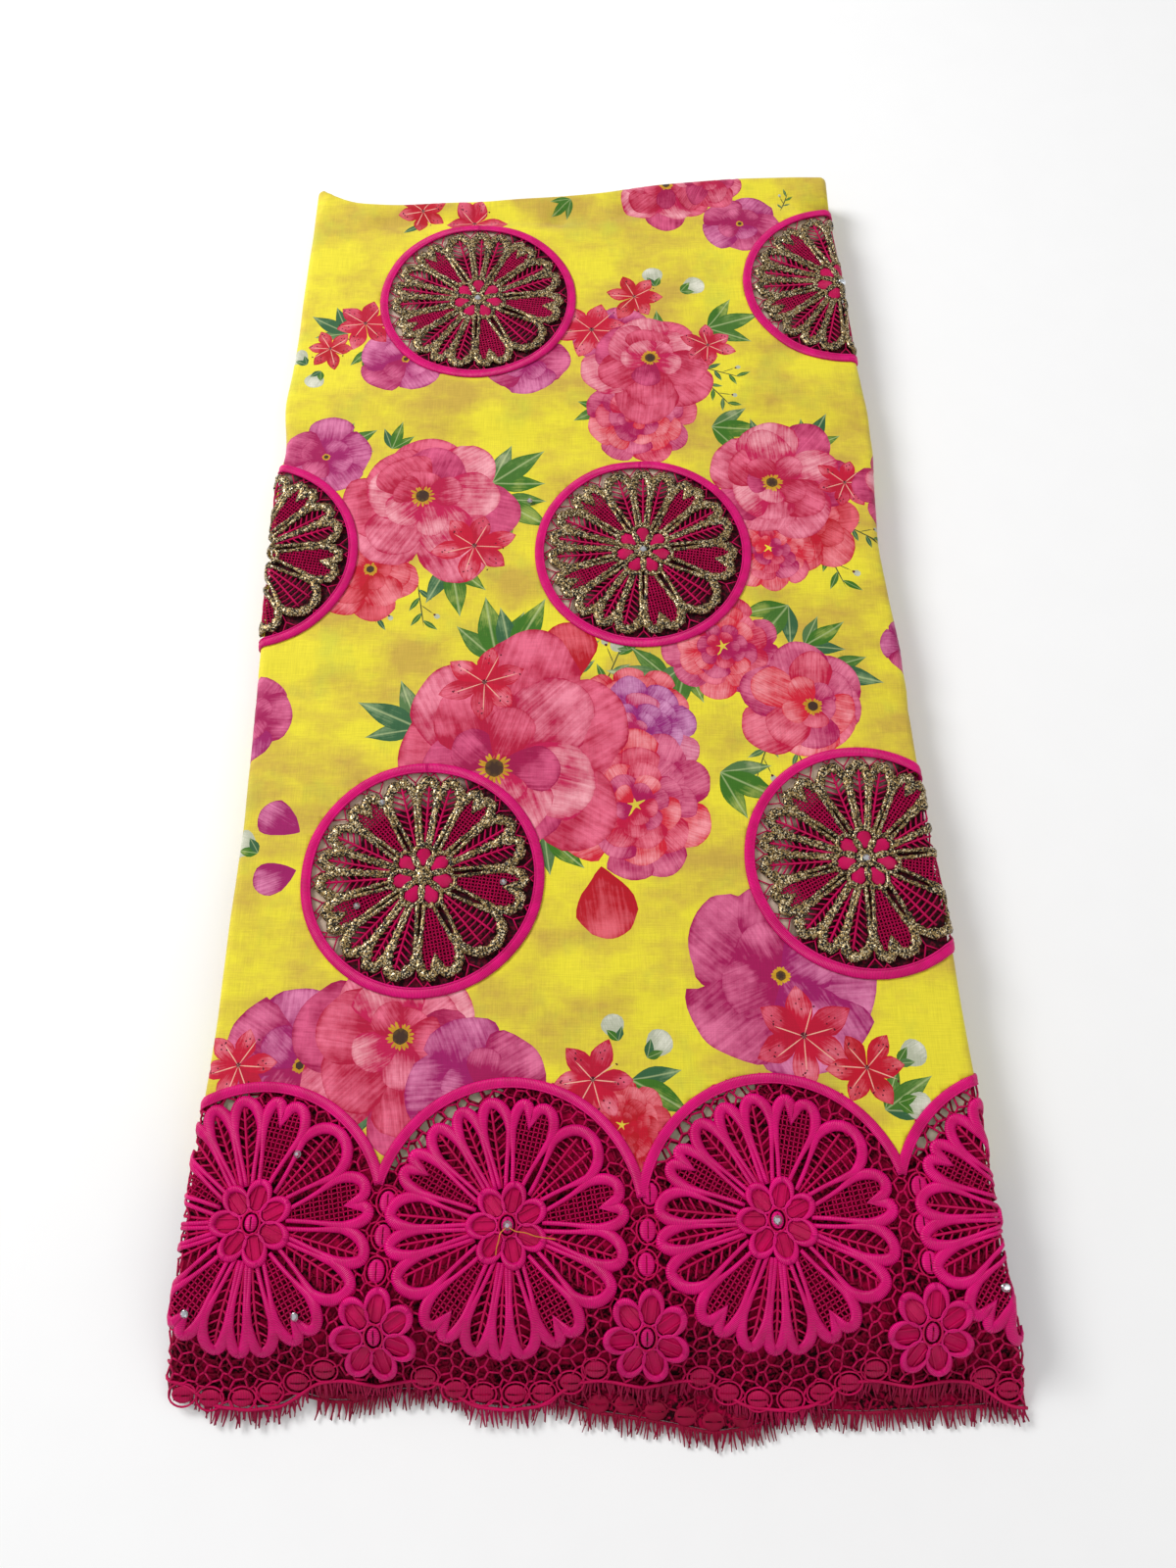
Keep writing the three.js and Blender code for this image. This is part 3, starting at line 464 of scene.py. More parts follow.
# Columns of a petal's row after its place; light and dark take three each
ANGLE, LONG, HALF, BEND, SKEW, BLUNT, KIND, LIGHT, DARK, OWN = 2, 3, 4, 5, 6, 7, 8, 9, 12, 15


class Bouquet:
    """Petals of the print in the order they are laid. A petal's row holds its place, clock angle,
    length, half width, bend, form, kind, light and dark colours, and a random number of its own."""

    def __init__(self, seed):
        self.rows, self.outlines = [], []
        self.random = np.random.default_rng(seed)

    def petal(self, x, y, angle, long, wide, form, light, dark, kind=PETAL_KIND, bend=0.0, ruffle=0.0):
        skew, blunt = FORMS[form]
        count = 4 if form == LINE or long < 2.5 else 5 if long < 7 else int(7 + long / 3.6)
        u = 0.5 - 0.5 * np.cos(math.pi * np.linspace(0, 1, count))
        wave = 1 + ruffle * np.sin(0.75 * np.arange(count) + self.random.uniform(0, 6))
        wave = wave + 0.6 * ruffle * self.random.uniform(-1, 1, count)
        half = np.sin(math.pi * np.clip(u, 1e-4, 1 - 1e-4) ** skew) ** blunt * wave
        top = np.stack([u, half + bend * u * u], 1)
        low = np.stack([u, -half * wave[::-1] + bend * u * u], 1)[1:-1][::-1]
        local = np.concatenate([top, low])[::-1]
        row = (x, y, angle, long, wide / 2, bend, skew, blunt, kind, *light, *dark, self.random.uniform())
        self.rows.append(row)
        self.outlines.append(petal_places(np.asarray(row), local))


def petal_places(row, local):
    """Flat places of a petal's own places: u along it, v across it in half widths."""
    x, y, angle, long, half = row[:5]
    turn = math.radians(angle)
    ahead = np.array([math.sin(turn), math.cos(turn)])
    aside = np.array([-ahead[1], ahead[0]])
    return np.array([x, y]) + local[:, :1] * long * ahead + local[:, 1:] * half * aside


PINKS = (
    ((0.84, 0.24, 0.34), (0.44, 0.001, 0.050)),
    ((0.78, 0.14, 0.24), (0.42, 0.0, 0.036)),
    ((0.86, 0.36, 0.42), (0.50, 0.003, 0.070)),
    ((0.70, 0.10, 0.23), (0.34, 0.0, 0.060)),
)
PURPLES = (
    ((0.72, 0.15, 0.30), (0.34, 0.001, 0.080)),
    ((0.70, 0.20, 0.38), (0.32, 0.003, 0.110)),
)
CORALS = (
    ((0.88, 0.30, 0.34), (0.60, 0.008, 0.030)),
    ((0.84, 0.20, 0.28), (0.48, 0.0, 0.040)),
    ((0.76, 0.18, 0.30), (0.38, 0.0, 0.075)),
)
REDS = (((0.76, 0.12, 0.16), (0.44, 0.0, 0.010)), ((0.84, 0.22, 0.26), (0.50, 0.0, 0.018)))
ROSES = (((0.86, 0.26, 0.34), (0.52, 0.0, 0.028)), ((0.80, 0.15, 0.24), (0.46, 0.0, 0.026)))
VIOLETS = (((0.66, 0.28, 0.50), (0.28, 0.01, 0.16)), ((0.80, 0.30, 0.42), (0.44, 0.005, 0.09)))
GREENS = (
    ((0.44, 0.50, 0.10), (0.04, 0.15, 0.008)),
    ((0.30, 0.42, 0.12), (0.05, 0.15, 0.015)),
    ((0.30, 0.42, 0.20), (0.03, 0.11, 0.04)),
    ((0.48, 0.50, 0.28), (0.08, 0.17, 0.05)),
)
WHITE = ((0.80, 0.78, 0.66), (0.44, 0.46, 0.34))
YELLOW = ((0.80, 0.50, 0.02), (0.50, 0.25, 0.01))
BROWN = ((0.16, 0.08, 0.01), (0.05, 0.02, 0.01))
STEM = ((0.14, 0.16, 0.04), (0.06, 0.07, 0.02))
STAMEN = ((0.90, 0.60, 0.50), (0.80, 0.40, 0.30))
SPOT = ((0.12, 0.0, 0.01), (0.08, 0.0, 0.01))


def pick(b, palette):
    """A light and dark pair of a palette, at random."""
    return palette[int(b.random.integers(len(palette)))]


def ring(b, x, y, count, start, long, wide, form, palette, lean=0.0, toward=0.0, inner=0.0, ruffle=0.05):
    """Petals round a middle; lean makes those towards one side longer, as in a half side view."""
    for k in range(count):
        angle = start + 360 * k / count + b.random.uniform(-6, 6)
        grown = 1 + lean * math.cos(math.radians(angle - toward)) + b.random.uniform(-0.07, 0.07)
        turn = math.radians(angle)
        light, dark = pick(b, palette)
        b.petal(x + inner * math.sin(turn), y + inner * math.cos(turn), angle, long * grown,
                wide * b.random.uniform(0.9, 1.1), form, light, dark,
                bend=b.random.uniform(-0.25, 0.25), ruffle=ruffle)


def eye(b, x, y, size):
    """A ring of yellow stamens round a brown middle."""
    for k in range(18):
        angle = 20 * k + b.random.uniform(-5, 5)
        b.petal(x, y, angle, size * b.random.uniform(0.85, 1.1), 1.5, ROUND, *YELLOW, kind=PLAIN_KIND)
    for k in range(6):
        b.petal(x, y, 60 * k, 0.55 * size, 0.6 * size, ROUND, *BROWN, kind=PLAIN_KIND)


def peony(b, x, y, toward, size, palette, lean=0.24):
    """A wide open flower: two rings of broad petals and a stamen eye, off centre by its lean."""
    start = b.random.uniform(0, 50)
    ring(b, x, y, 7, start, 0.56 * size, 0.50 * size, ROUND, palette, lean, toward)
    ring(b, x, y, 6, start + 25, 0.44 * size, 0.40 * size, ROUND, palette, lean, toward)
    ring(b, x, y, 5, start + 8, 0.25 * size, 0.24 * size, ROUND, palette, lean, toward)
    eye(b, x, y, 0.085 * size)


def wide_peony(b, x, y, toward, size, palette):
    """A peony whose petals on one side are much longer."""
    peony(b, x, y, toward, size, palette, lean=0.36)


def ruffled(b, x, y, start, size, palette):
    """A full flower: rings of short petals from the outside in, each over the one before."""
    turn = start + b.random.uniform(0, 40)
    for count, inner, long, wide in ((9, 0.16, 0.36, 0.32), (9, 0.12, 0.28, 0.28), (8, 0.08, 0.23, 0.22),
                                     (7, 0.05, 0.17, 0.17), (5, 0.02, 0.13, 0.13)):
        turn += 17
        ring(b, x, y, count, turn, long * size, wide * size, ROUND, palette, inner=inner * size, ruffle=0.09)


def lily(b, x, y, turn, size, palette):
    """Six narrow petals, red at the throat, with spots, long stamens and dark anthers."""
    for k in (0, 2, 4, 1, 3, 5):
        angle = turn + 60 * k + b.random.uniform(-7, 7)
        light, dark = pick(b, palette)
        b.petal(x, y, angle, 0.5 * size * b.random.uniform(0.85, 1.1), 0.27 * size, POINTED, light, dark,
                bend=b.random.uniform(-0.35, 0.35), ruffle=0.04)
        for share, side in ((0.5, 4), (0.62, -5), (0.7, 2)):
            spot = clock((x, y), angle + side, 0.5 * size * share)
            b.petal(spot[0], spot[1], angle, 0.9, 0.8, ROUND, *SPOT, kind=PLAIN_KIND)
    b.petal(x, y - 0.03 * size, 0, 0.07 * size, 0.07 * size, ROUND, *SPOT, kind=PLAIN_KIND)
    for k in range(6):
        angle = turn + 55 * k + 20 + b.random.uniform(-10, 10)
        long = 0.36 * size * b.random.uniform(0.8, 1.15)
        b.petal(x, y, angle, long, 0.5, LINE, *STAMEN, kind=PLAIN_KIND)
        tip = clock((x, y), angle, long)
        b.petal(tip[0], tip[1], angle + 70, 1.3, 0.9, ROUND, *SPOT, kind=PLAIN_KIND)


def hibiscus(b, x, y, turn, size, palette):
    """Five broad ruffled petals and a small yellow eye."""
    ring(b, x, y, 5, turn, 0.52 * size, 0.56 * size, ROUND, palette, ruffle=0.08)
    ring(b, x, y, 4, turn + 30, 0.3 * size, 0.30 * size, ROUND, palette, ruffle=0.08)
    eye(b, x, y, 0.05 * size)


def leaf(b, x, y, angle, long, wide=0.36):
    """A bent leaf, its width a share of its length."""
    light, dark = pick(b, GREENS)
    b.petal(x, y, angle, long, wide * long, LEAF, light, dark, kind=LEAF_KIND,
            bend=b.random.uniform(-0.35, 0.35))


def leaves(b, x, y, angle, long):
    """Three leaves from one stem."""
    for side, share in ((-38, 0.85), (34, 0.9), (-4, 1.1)):
        leaf(b, x, y, angle + side, long * share)


def sprig(b, x, y, angle, long):
    """A thin stem with leaves in turn and a few pale buds on short stalks."""
    b.petal(x, y, angle, long, 0.7, LINE, *STEM, kind=PLAIN_KIND)
    for k in range(5):
        share = 0.2 + 0.16 * k
        at = clock((x, y), angle, long * share)
        side = angle + (42 if k % 2 else -42)
        if k % 3 == 2:
            b.petal(at[0], at[1], side, 0.3 * long, 0.5, LINE, *STEM, kind=PLAIN_KIND)
            tip = clock(at, side, 0.3 * long)
            b.petal(tip[0], tip[1], side, 0.14 * long, 0.11 * long, ROUND, *WHITE)
            b.petal(tip[0], tip[1], side, 0.05 * long, 0.05 * long, ROUND, *SPOT, kind=PLAIN_KIND)
        else:
            leaf(b, at[0], at[1], side, 0.34 * long, 0.3)


def loose_petal(b, x, y, angle, size, colours):
    """A fallen petal, four fifths as wide as it is long."""
    b.petal(x, y, angle, size, 0.8 * size, ROUND, *colours, ruffle=0.05)


def bud(b, x, y, angle, size):
    """A pale round bud on two small leaves."""
    b.petal(x, y, angle, size, 0.85 * size, ROUND, *WHITE)
    leaf(b, x, y, angle - 25, 0.6 * size, 0.5)
    leaf(b, x, y, angle + 30, 0.55 * size, 0.5)


# Where the print's flowers lie: kind, x, y, clock angle or side it leans to, size, laid in this order
PRINT = (
    ("sprig", -101, 366, 190, 26), ("sprig", -86, 366, 170, 28), ("sprig", 118, 392, 160, 34),
    ("sprig", 128, 400, 120, 24), ("sprig", -8, 300, 10, 36), ("sprig", 6, 302, 22, 34),
    ("sprig", 22, 300, 30, 24), ("sprig", 88, 284, 200, 30), ("sprig", 96, 280, 160, 24),
    ("sprig", 60, 500, 110, 26), ("sprig", 62, 490, 140, 24), ("sprig", 112, 612, 20, 16),
    ("leaves", -133, 523, 300, 22), ("leaves", -120, 512, 190, 17), ("leaves", 66, 526, 75, 29),
    ("leaves", 66, 460, 100, 26), ("leaves", -50, 424, 60, 31), ("leaves", -46, 414, 130, 29),
    ("leaves", 116, 446, 30, 23), ("leaves", 138, 424, 100, 23), ("leaves", 100, 352, 220, 29),
    ("leaves", -70, 376, 170, 29), ("leaves", -44, 320, 350, 34), ("leaves", -38, 322, 30, 34),
    ("leaves", -80, 284, 300, 31), ("leaves", 40, 310, 280, 29), ("leaves", 48, 318, 200, 26),
    ("leaves", 116, 316, 110, 26), ("leaves", 62, 262, 120, 29), ("leaves", -20, 232, 140, 23),
    ("leaves", -124, 112, 330, 34), ("leaves", -84, 126, 220, 36), ("leaves", -78, 118, 160, 29),
    ("leaves", 18, 122, 120, 26), ("leaves", 8, 470, 250, 16), ("leaves", -10, 622, 230, 14),
    ("leaves", -132, 446, 60, 21), ("leaves", -104, 446, 20, 16), ("leaves", 124, 110, 60, 23),
    ("leaves", -8, 108, 200, 29), ("leaves", 106, 328, 60, 23), ("leaves", 40, 518, 320, 23),
    ("leaf", -96, 604, 230, 14), ("leaf", 92, 450, 340, 16), ("leaf", 150, 380, 150, 14),
    ("bud", -154, 501, 320, 12), ("bud", -146, 497, 200, 13), ("bud", 38, 556, 350, 14),
    ("bud", 52, 552, 60, 15), ("bud", 131, 129, 60, 14), ("bud", 130, 113, 100, 14),
    ("bud", 13, 138, 340, 12), ("bud", 25, 131, 40, 14), ("bud", -150, 222, 300, 16),
    ("bud", 20, 326, 300, 10),
    ("hibiscus", 88, 603, 30, 44), ("hibiscus", -100, 505, 10, 48), ("hibiscus", -34, 502, 20, 46),
    ("peony", 46, 634, 180, 50), ("peony", 70, 640, 180, 36),
    ("hibiscus", -138, 440, 0, 46), ("peony_red", -110, 372, 200, 46),
    ("hibiscus", 14, 520, 30, 42), ("peony_red", 110, 400, 150, 46),
    ("lily_red", -96, 612, 10, 30), ("lily", -66, 604, 25, 38),
    ("lily", -124, 530, 15, 36), ("lily_red", -142, 512, 40, 28),
    ("lily", 2, 524, 20, 44), ("lily_red", 26, 548, 35, 34),
    ("ruffled", 28, 466, 0, 58), ("peony", 34, 505, 180, 64), ("lily", 66, 514, 50, 32),
    ("ruffled", 92, 384, 0, 48), ("peony", 96, 424, 60, 66), ("lily", 134, 424, 20, 32),
    ("peony", -86, 416, 150, 78), ("lily", -58, 386, 15, 42),
    ("ruffled", 66, 328, 0, 56), ("peony_coral", 108, 296, 300, 56),
    ("ruffled_red", 22, 290, 0, 54), ("petal_red", 6, 216, 172, 34), ("petal_red", -6, 308, 350, 34),
    ("ruffled_violet", 22, 280, 0, 60), ("ruffled", 22, 246, 0, 72),
    ("peony_wide", -44, 264, 40, 98), ("lily", -50, 308, 5, 42),
    ("hibiscus", -164, 290, 20, 46), ("petal_pale", -132, 232, 300, 22), ("petal_pale", -132, 214, 250, 20),
    ("hibiscus", -122, 128, 10, 66), ("peony", -80, 140, 200, 76), ("lily", -148, 128, 20, 32),
    ("ruffled_red", 14, 104, 0, 40), ("hibiscus", -46, 118, 340, 56), ("lily", 2, 122, 25, 36),
    ("hibiscus", 84, 166, 300, 84), ("lily", 92, 140, 0, 44), ("lily_red", 118, 127, 30, 34),
    ("peony", 168, 420, 270, 44), ("hibiscus", 160, 330, 270, 30),
)


def lay_print():
    """Each row's flower laid by its function, in its palette."""
    laid = {
        "sprig": (sprig, None), "leaves": (leaves, None), "leaf": (leaf, None), "bud": (bud, None),
        "peony": (peony, PINKS), "peony_red": (peony, REDS), "peony_coral": (peony, CORALS),
        "peony_wide": (wide_peony, PINKS), "hibiscus": (hibiscus, PURPLES),
        "ruffled": (ruffled, CORALS), "ruffled_red": (ruffled, REDS), "ruffled_violet": (ruffled, VIOLETS),
        "lily": (lily, ROSES), "lily_red": (lily, REDS),
        "petal_red": (loose_petal, REDS[0]), "petal_pale": (loose_petal, PURPLES[1]),
    }
    b = Bouquet(17)
    for kind, x, y, angle, size in PRINT:
        lay, palette = laid[kind]
        if palette:
            lay(b, x, y, angle, size, palette)
        else:
            lay(b, x, y, angle, size)
    return b


# The printed cloth

def cloth_stations():
    """Flat grid of the cloth: even steps on the flat, close steps round the folds."""
    curl = np.linspace(FOLD_REACH, 0, 8)[:-1]
    rows = np.concatenate([np.arange(70, 612, CLOTH_STEP), [0] * (len(curl) + 1)])
    across = 72
    share = np.linspace(0, 1, across)
    grid = []
    last = len(rows) - len(curl) - 1
    for j, y in enumerate(rows):
        ys = np.full(across, y)
        if j < last:
            x = left_fold(ys) + share * (right_fold(ys) - left_fold(ys))
        else:
            x = grid[last - 1][len(curl):-len(curl), 0]
            ys = far_fold(x) + np.concatenate([[0], curl[::-1]])[j - last]
        left = np.stack([x[0] - curl, np.full(len(curl), ys[0])], 1)
        right = np.stack([x[-1] + curl[::-1], np.full(len(curl), ys[-1])], 1)
        grid.append(np.concatenate([left, np.stack([x, ys], 1), right]))
    return np.array(grid)


def circle(centre, radius, count=72):
    """Even places round a circle, counter-clockwise."""
    return clock(centre, -np.arange(count) * 360 / count, radius)


def cloth_holes():
    """Where the cloth gives way to lace: the insets, and the border under its satin band."""
    holes = [circle(centre, MEDALLION_RADIUS - UNDER_SATIN) for centre in MEDALLIONS.values()]
    holes += [circle((x, y), radius - UNDER_SATIN) for x, y, radius in SCALLOPS]
    holes.append(np.array([(-200, 40), (220, 40), (220, BAND_POINT - 3), (-200, BAND_POINT - 3)]))
    return holes


def build_cloth():
    """The top layer as one triangulated sheet whose edges follow every printed petal. Each triangle
    belongs to the petal laid last there, and its corners hold their place in that petal."""
    grid = cloth_stations()
    rows, columns = grid.shape[:2]
    numbers = np.arange(rows * columns).reshape(rows, columns)
    rim = np.concatenate([numbers[0], numbers[1:, -1], numbers[-1, -2::-1], numbers[-2:0:-1, 0]])
    bouquet = lay_print()
    outlines = bouquet.outlines + cloth_holes()
    points = [grid.reshape(-1, 2)]
    loops = [rim.tolist()]
    count = rows * columns
    for outline in outlines:
        loops.append(list(range(count, count + len(outline))))
        points.append(outline)
        count += len(outline)
    flat = np.concatenate(points)
    made = delaunay_2d_cdt([tuple(p) for p in flat.tolist()], [], loops, 0, 1e-4, True)
    flat = np.array([tuple(p) for p in made[0]])
    triangles = np.array(made[2])
    table = np.array(bouquet.rows)
    top = topmost(flat[triangles].mean(1), made[5], table)
    triangles, top = triangles[top >= 0], top[top >= 0]
    used, triangles = np.unique(triangles, return_inverse=True)
    flat, triangles = flat[used], triangles.reshape(-1, 3)
    a, b, c = (flat[triangles[:, k]] for k in range(3))
    facing = (b[:, 0] - a[:, 0]) * (c[:, 1] - a[:, 1]) - (b[:, 1] - a[:, 1]) * (c[:, 0] - a[:, 0])
    triangles[facing < 0] = triangles[facing < 0][:, ::-1]
    placed, _ = fold_over(flat, np.full(len(flat), VOILE_THICK))
    mesh = new_mesh("top_cloth_print", placed, triangles.ravel(), np.full(len(triangles), 3))
    corner_values(mesh, flat[triangles.ravel()], np.repeat(top, 3), table)
    mesh.polygons.foreach_set("use_smooth", np.full(len(triangles), True))
    mesh.materials.append(voile_finish())
    piece = place("top_cloth_print", mesh, ["top_cloth"])
    wall = piece.modifiers.new("wall", "SOLIDIFY")
    wall.thickness = VOILE_THICK / 1000
    wall.offset = -1
    return piece


def petal_share(flat, row):
    """Place in the petal at each flat place: u along it, v across it in half widths, and its edge's v."""
    turn = np.radians(row[:, ANGLE])
    away = flat - row[:, :2]
    u = (away[:, 0] * np.sin(turn) + away[:, 1] * np.cos(turn)) / row[:, LONG]
    v = (-away[:, 0] * np.cos(turn) + away[:, 1] * np.sin(turn)) / row[:, HALF] - row[:, BEND] * u * u
    return u, v, np.sin(math.pi * np.clip(u, 1e-4, 1 - 1e-4) ** row[:, SKEW]) ** row[:, BLUNT]


def topmost(middle, origins, rows):
    """Number of the petal laid last at each triangle's middle, 0 on bare cloth, -1 off the cloth or in
    a hole. Number 0 of the origins is the cloth and the numbers past the petals are the holes."""
    lengths = np.array([len(origin) for origin in origins])
    triangle = np.repeat(np.arange(len(origins)), lengths)
    number = np.array([k for origin in origins for k in origin])
    petals = (number > 0) & (number <= len(rows))
    u, v, half = petal_share(middle[triangle[petals]], rows[number[petals] - 1])
    within = (u > -0.02) & (u < 1.02) & (np.abs(v) < 1.15 * half + 0.04)
    top = np.full(len(origins), -1)
    top[triangle[number == 0]] = 0
    np.maximum.at(top, triangle[petals][within], number[petals][within])
    cloth = np.zeros(len(origins), bool)
    cloth[triangle[number == 0]] = True
    cloth[triangle[number > len(rows)]] = False
    return np.where(cloth, top, -1)


def corner_values(mesh, flat, top, rows):
    """UV maps: the flat cloth, the place in the petal, and its edge distance with its kind. Colours:
    the petal's light and dark."""
    row = rows[np.maximum(top - 1, 0)]
    printed = top > 0
    u, v, half = petal_share(flat, row)
    edge = np.maximum(half - np.abs(v), 0) * row[:, HALF]
    maps = {
        "flat": flat / 1000,
        "petal": np.stack([u + 1 + 3 * np.floor(40 * row[:, OWN]), v], 1) * printed[:, None],
        "petal_edge": np.stack([edge, row[:, KIND]], 1) * printed[:, None],
    }
    for name, values in maps.items():
        mesh.uv_layers.new(name=name).data.foreach_set("uv", values.ravel())
    for name, first in (("petal_light", LIGHT), ("petal_dark", DARK)):
        colour = mesh.color_attributes.new(name, "FLOAT_COLOR", "CORNER")
        values = np.concatenate([row[:, first:first + 3] * printed[:, None], np.ones((len(row), 1))], 1)
        colour.data.foreach_set("color", values.ravel())


# Finishes

class Nodes:
    """Short names for building one material."""

    def __init__(self, name):
        self.material = bpy.data.materials.new(name)
        self.material.use_nodes = True
        self.tree = self.material.node_tree
        self.shader = self.tree.nodes["Principled BSDF"]

    def link(self, value, socket):
        if isinstance(value, bpy.types.NodeSocket):
            self.tree.links.new(value, socket)
        else:
            socket.default_value = (*value, 1) if isinstance(value, tuple) and len(value) == 3 else value

    def uv(self, name):
        node = self.tree.nodes.new("ShaderNodeUVMap")
        node.uv_map = name
        return node.outputs["UV"]

    def object_place(self):
        return self.tree.nodes.new("ShaderNodeTexCoord").outputs["Object"]

    def colour(self, name):
        node = self.tree.nodes.new("ShaderNodeVertexColor")
        node.layer_name = name
        return node.outputs["Color"]

    def split(self, vector):
        node = self.tree.nodes.new("ShaderNodeSeparateXYZ")
        self.link(vector, node.inputs[0])
        return node.outputs

    def scale(self, vector, amounts):
        node = self.tree.nodes.new("ShaderNodeMapping")
        self.link(vector, node.inputs["Vector"])
        node.inputs["Scale"].default_value = amounts
        return node.outputs["Vector"]

    def noise(self, vector, scale, detail=3.0, rough=0.5):
        node = self.tree.nodes.new("ShaderNodeTexNoise")
        self.link(vector, node.inputs["Vector"])
        node.inputs["Scale"].default_value = scale
        node.inputs["Detail"].default_value = detail
        node.inputs["Roughness"].default_value = rough
        return node.outputs["Fac"]

    def cells(self, vector, scale):
        node = self.tree.nodes.new("ShaderNodeTexVoronoi")
        self.link(vector, node.inputs["Vector"])
        node.inputs["Scale"].default_value = scale
        return node.outputs["Color"]

    def wave(self, vector, scale, distort):
        """Bands across the first part of a vector."""
        node = self.tree.nodes.new("ShaderNodeTexWave")
        self.link(vector, node.inputs["Vector"])
        node.inputs["Scale"].default_value = scale
        node.inputs["Distortion"].default_value = distort
        return node.outputs["Fac"]

    def math(self, work, a, b=0.0):
        node = self.tree.nodes.new("ShaderNodeMath")
        node.operation = work
        self.link(a, node.inputs[0])
        self.link(b, node.inputs[1])
        return node.outputs[0]

    def fit(self, value, low, high, to_low=0.0, to_high=1.0):
        node = self.tree.nodes.new("ShaderNodeMapRange")
        self.link(value, node.inputs["Value"])
        for name, number in (("From Min", low), ("From Max", high), ("To Min", to_low), ("To Max", to_high)):
            node.inputs[name].default_value = number
        return node.outputs["Result"]

    def mix(self, share, a, b, blend="MIX"):
        node = self.tree.nodes.new("ShaderNodeMix")
        node.data_type = "RGBA"
        node.blend_type = blend
        self.link(share, node.inputs["Factor"])
        self.link(a, node.inputs["A"])
        self.link(b, node.inputs["B"])
        return node.outputs["Result"]

    def bump(self, height, strength, distance):
        node = self.tree.nodes.new("ShaderNodeBump")
        node.inputs["Strength"].default_value = strength
        node.inputs["Distance"].default_value = distance
        self.link(height, node.inputs["Height"])
        self.link(node.outputs["Normal"], self.shader.inputs["Normal"])

    def set(self, **values):
        for name, value in values.items():
            self.link(value, self.shader.inputs[name.replace("_", " ")])
        return self.material


def ground_colour(n, flat):
    """Lemon dye with ochre clouds and faint green ones, the way the dye pooled."""
    clouds = n.noise(n.scale(flat, (1, 1.5, 1)), 17, 6, 0.62)
    green = n.noise(n.scale(flat, (1.3, 1, 1)), 26, 5, 0.6)
    lemon = n.mix(n.fit(clouds, 0.42, 0.62), (0.79, 0.68, 0.030), (0.56, 0.38, 0.050))
    return n.mix(n.fit(green, 0.54, 0.70, 0, 0.5), lemon, (0.50, 0.52, 0.05))


def weave(n, flat):
    """Uneven threads both ways: fine noise drawn out along each."""
    warp = n.noise(n.scale(flat, (2600, 90, 1)), 1, 2)
    weft = n.noise(n.scale(flat, (90, 2600, 1)), 1, 2)
    return n.math("ADD", warp, weft)


def voile_finish():
    """The print over the dyed ground. A petal's tone rises from dark at its root to light at its tip and
    sinks at its edge, with streaks along it and a slow wash, and mixes its two colours."""
    n = Nodes("printed_voile_cloth")
    flat = n.uv("flat")
    petal = n.uv("petal")
    edge, kind, _ = n.split(n.uv("petal_edge"))
    u, v, _ = n.split(petal)
    along = n.math("MULTIPLY", n.math("FRACT", n.math("DIVIDE", u, 3.0)), 3.0)
    along = n.math("SUBTRACT", along, 1.0)
    streaks = n.noise(n.scale(petal, (1.1, 7.0, 1)), 1.6, 4, 0.6)
    wash = n.noise(flat, 75, 4, 0.6)
    rise = n.math("MULTIPLY", n.fit(along, 0.22, 0.95), n.fit(along, 0.9, 1.02, 1.0, 0.7))
    tone = n.math("ADD", n.math("MULTIPLY", rise, 0.95), n.fit(streaks, 0.3, 0.7, -0.30, 0.30))
    tone = n.math("ADD", tone, n.fit(wash, 0.34, 0.66, -0.52, 0.26))
    tone = n.math("SUBTRACT", tone, n.fit(edge, 0.0, 0.8, 0.3, 0.0))
    tone = n.math("SUBTRACT", tone, n.fit(edge, 0.0, 5.0, 0.35, 0.0))
    tone = n.math("MINIMUM", n.math("MAXIMUM", tone, 0.0), 1.0)
    printed = n.mix(tone, n.colour("petal_dark"), n.colour("petal_light"))
    midrib = n.fit(n.math("ABSOLUTE", v), 0.0, 0.13, 1.0, 0.0)
    is_leaf = n.math("MULTIPLY", n.math("LESS_THAN", kind, 0.6), n.math("GREATER_THAN", kind, 0.4))
    midrib = n.math("MULTIPLY", n.math("MULTIPLY", midrib, is_leaf), 0.55)
    printed = n.mix(midrib, printed, (0.55, 0.62, 0.30))
    is_printed = n.math("GREATER_THAN", kind, 0.1)
    ground = ground_colour(n, flat)
    colour = n.mix(is_printed, ground, printed)
    threads_here = weave(n, flat)
    shade = n.fit(threads_here, 0.7, 1.3, 0.86, 1.08)
    colour = n.mix(1.0, colour, shade, "MULTIPLY")
    n.bump(threads_here, 0.25, 0.0002)
    return n.set(Base_Color=colour, Roughness=0.72, Sheen_Weight=0.25, Sheen_Roughness=0.4,
                 Specular_IOR_Level=0.25)


def pile_finish():
    """The side folds: the same dye, with the print's pinks where its petals meet the folds, and below the
    band nearly black crimson: the lace of the layers beneath in painted shade.
    """
    n = Nodes("folded_voile_cloth")
    here = n.object_place()
    ground = ground_colour(n, here)
    _, away, _ = n.split(here)
    spots = n.noise(n.scale(here, (1, 1, 9)), 23, 3, 0.55)
    pinks = n.mix(n.noise(here, 60, 2), (0.62, 0.05, 0.20), (0.84, 0.34, 0.50))
    colour = n.mix(n.fit(spots, 0.585, 0.61), ground, pinks)
    threads_here = weave(n, here)
    colour = n.mix(1.0, colour, n.fit(threads_here, 0.7, 1.3, 0.82, 1.02), "MULTIPLY")
    # Below the band the layers are lace, coloured nearly black crimson as painted shade.
    lace = n.math("LESS_THAN", away, (BAND_POINT + SHIFT_Y) / 1000)
    colour = n.mix(lace, colour, (0.10, 0.0, 0.014))
    n.bump(threads_here, 0.25, 0.0002)
    return n.set(Base_Color=colour, Roughness=0.85, Specular_IOR_Level=0.15)


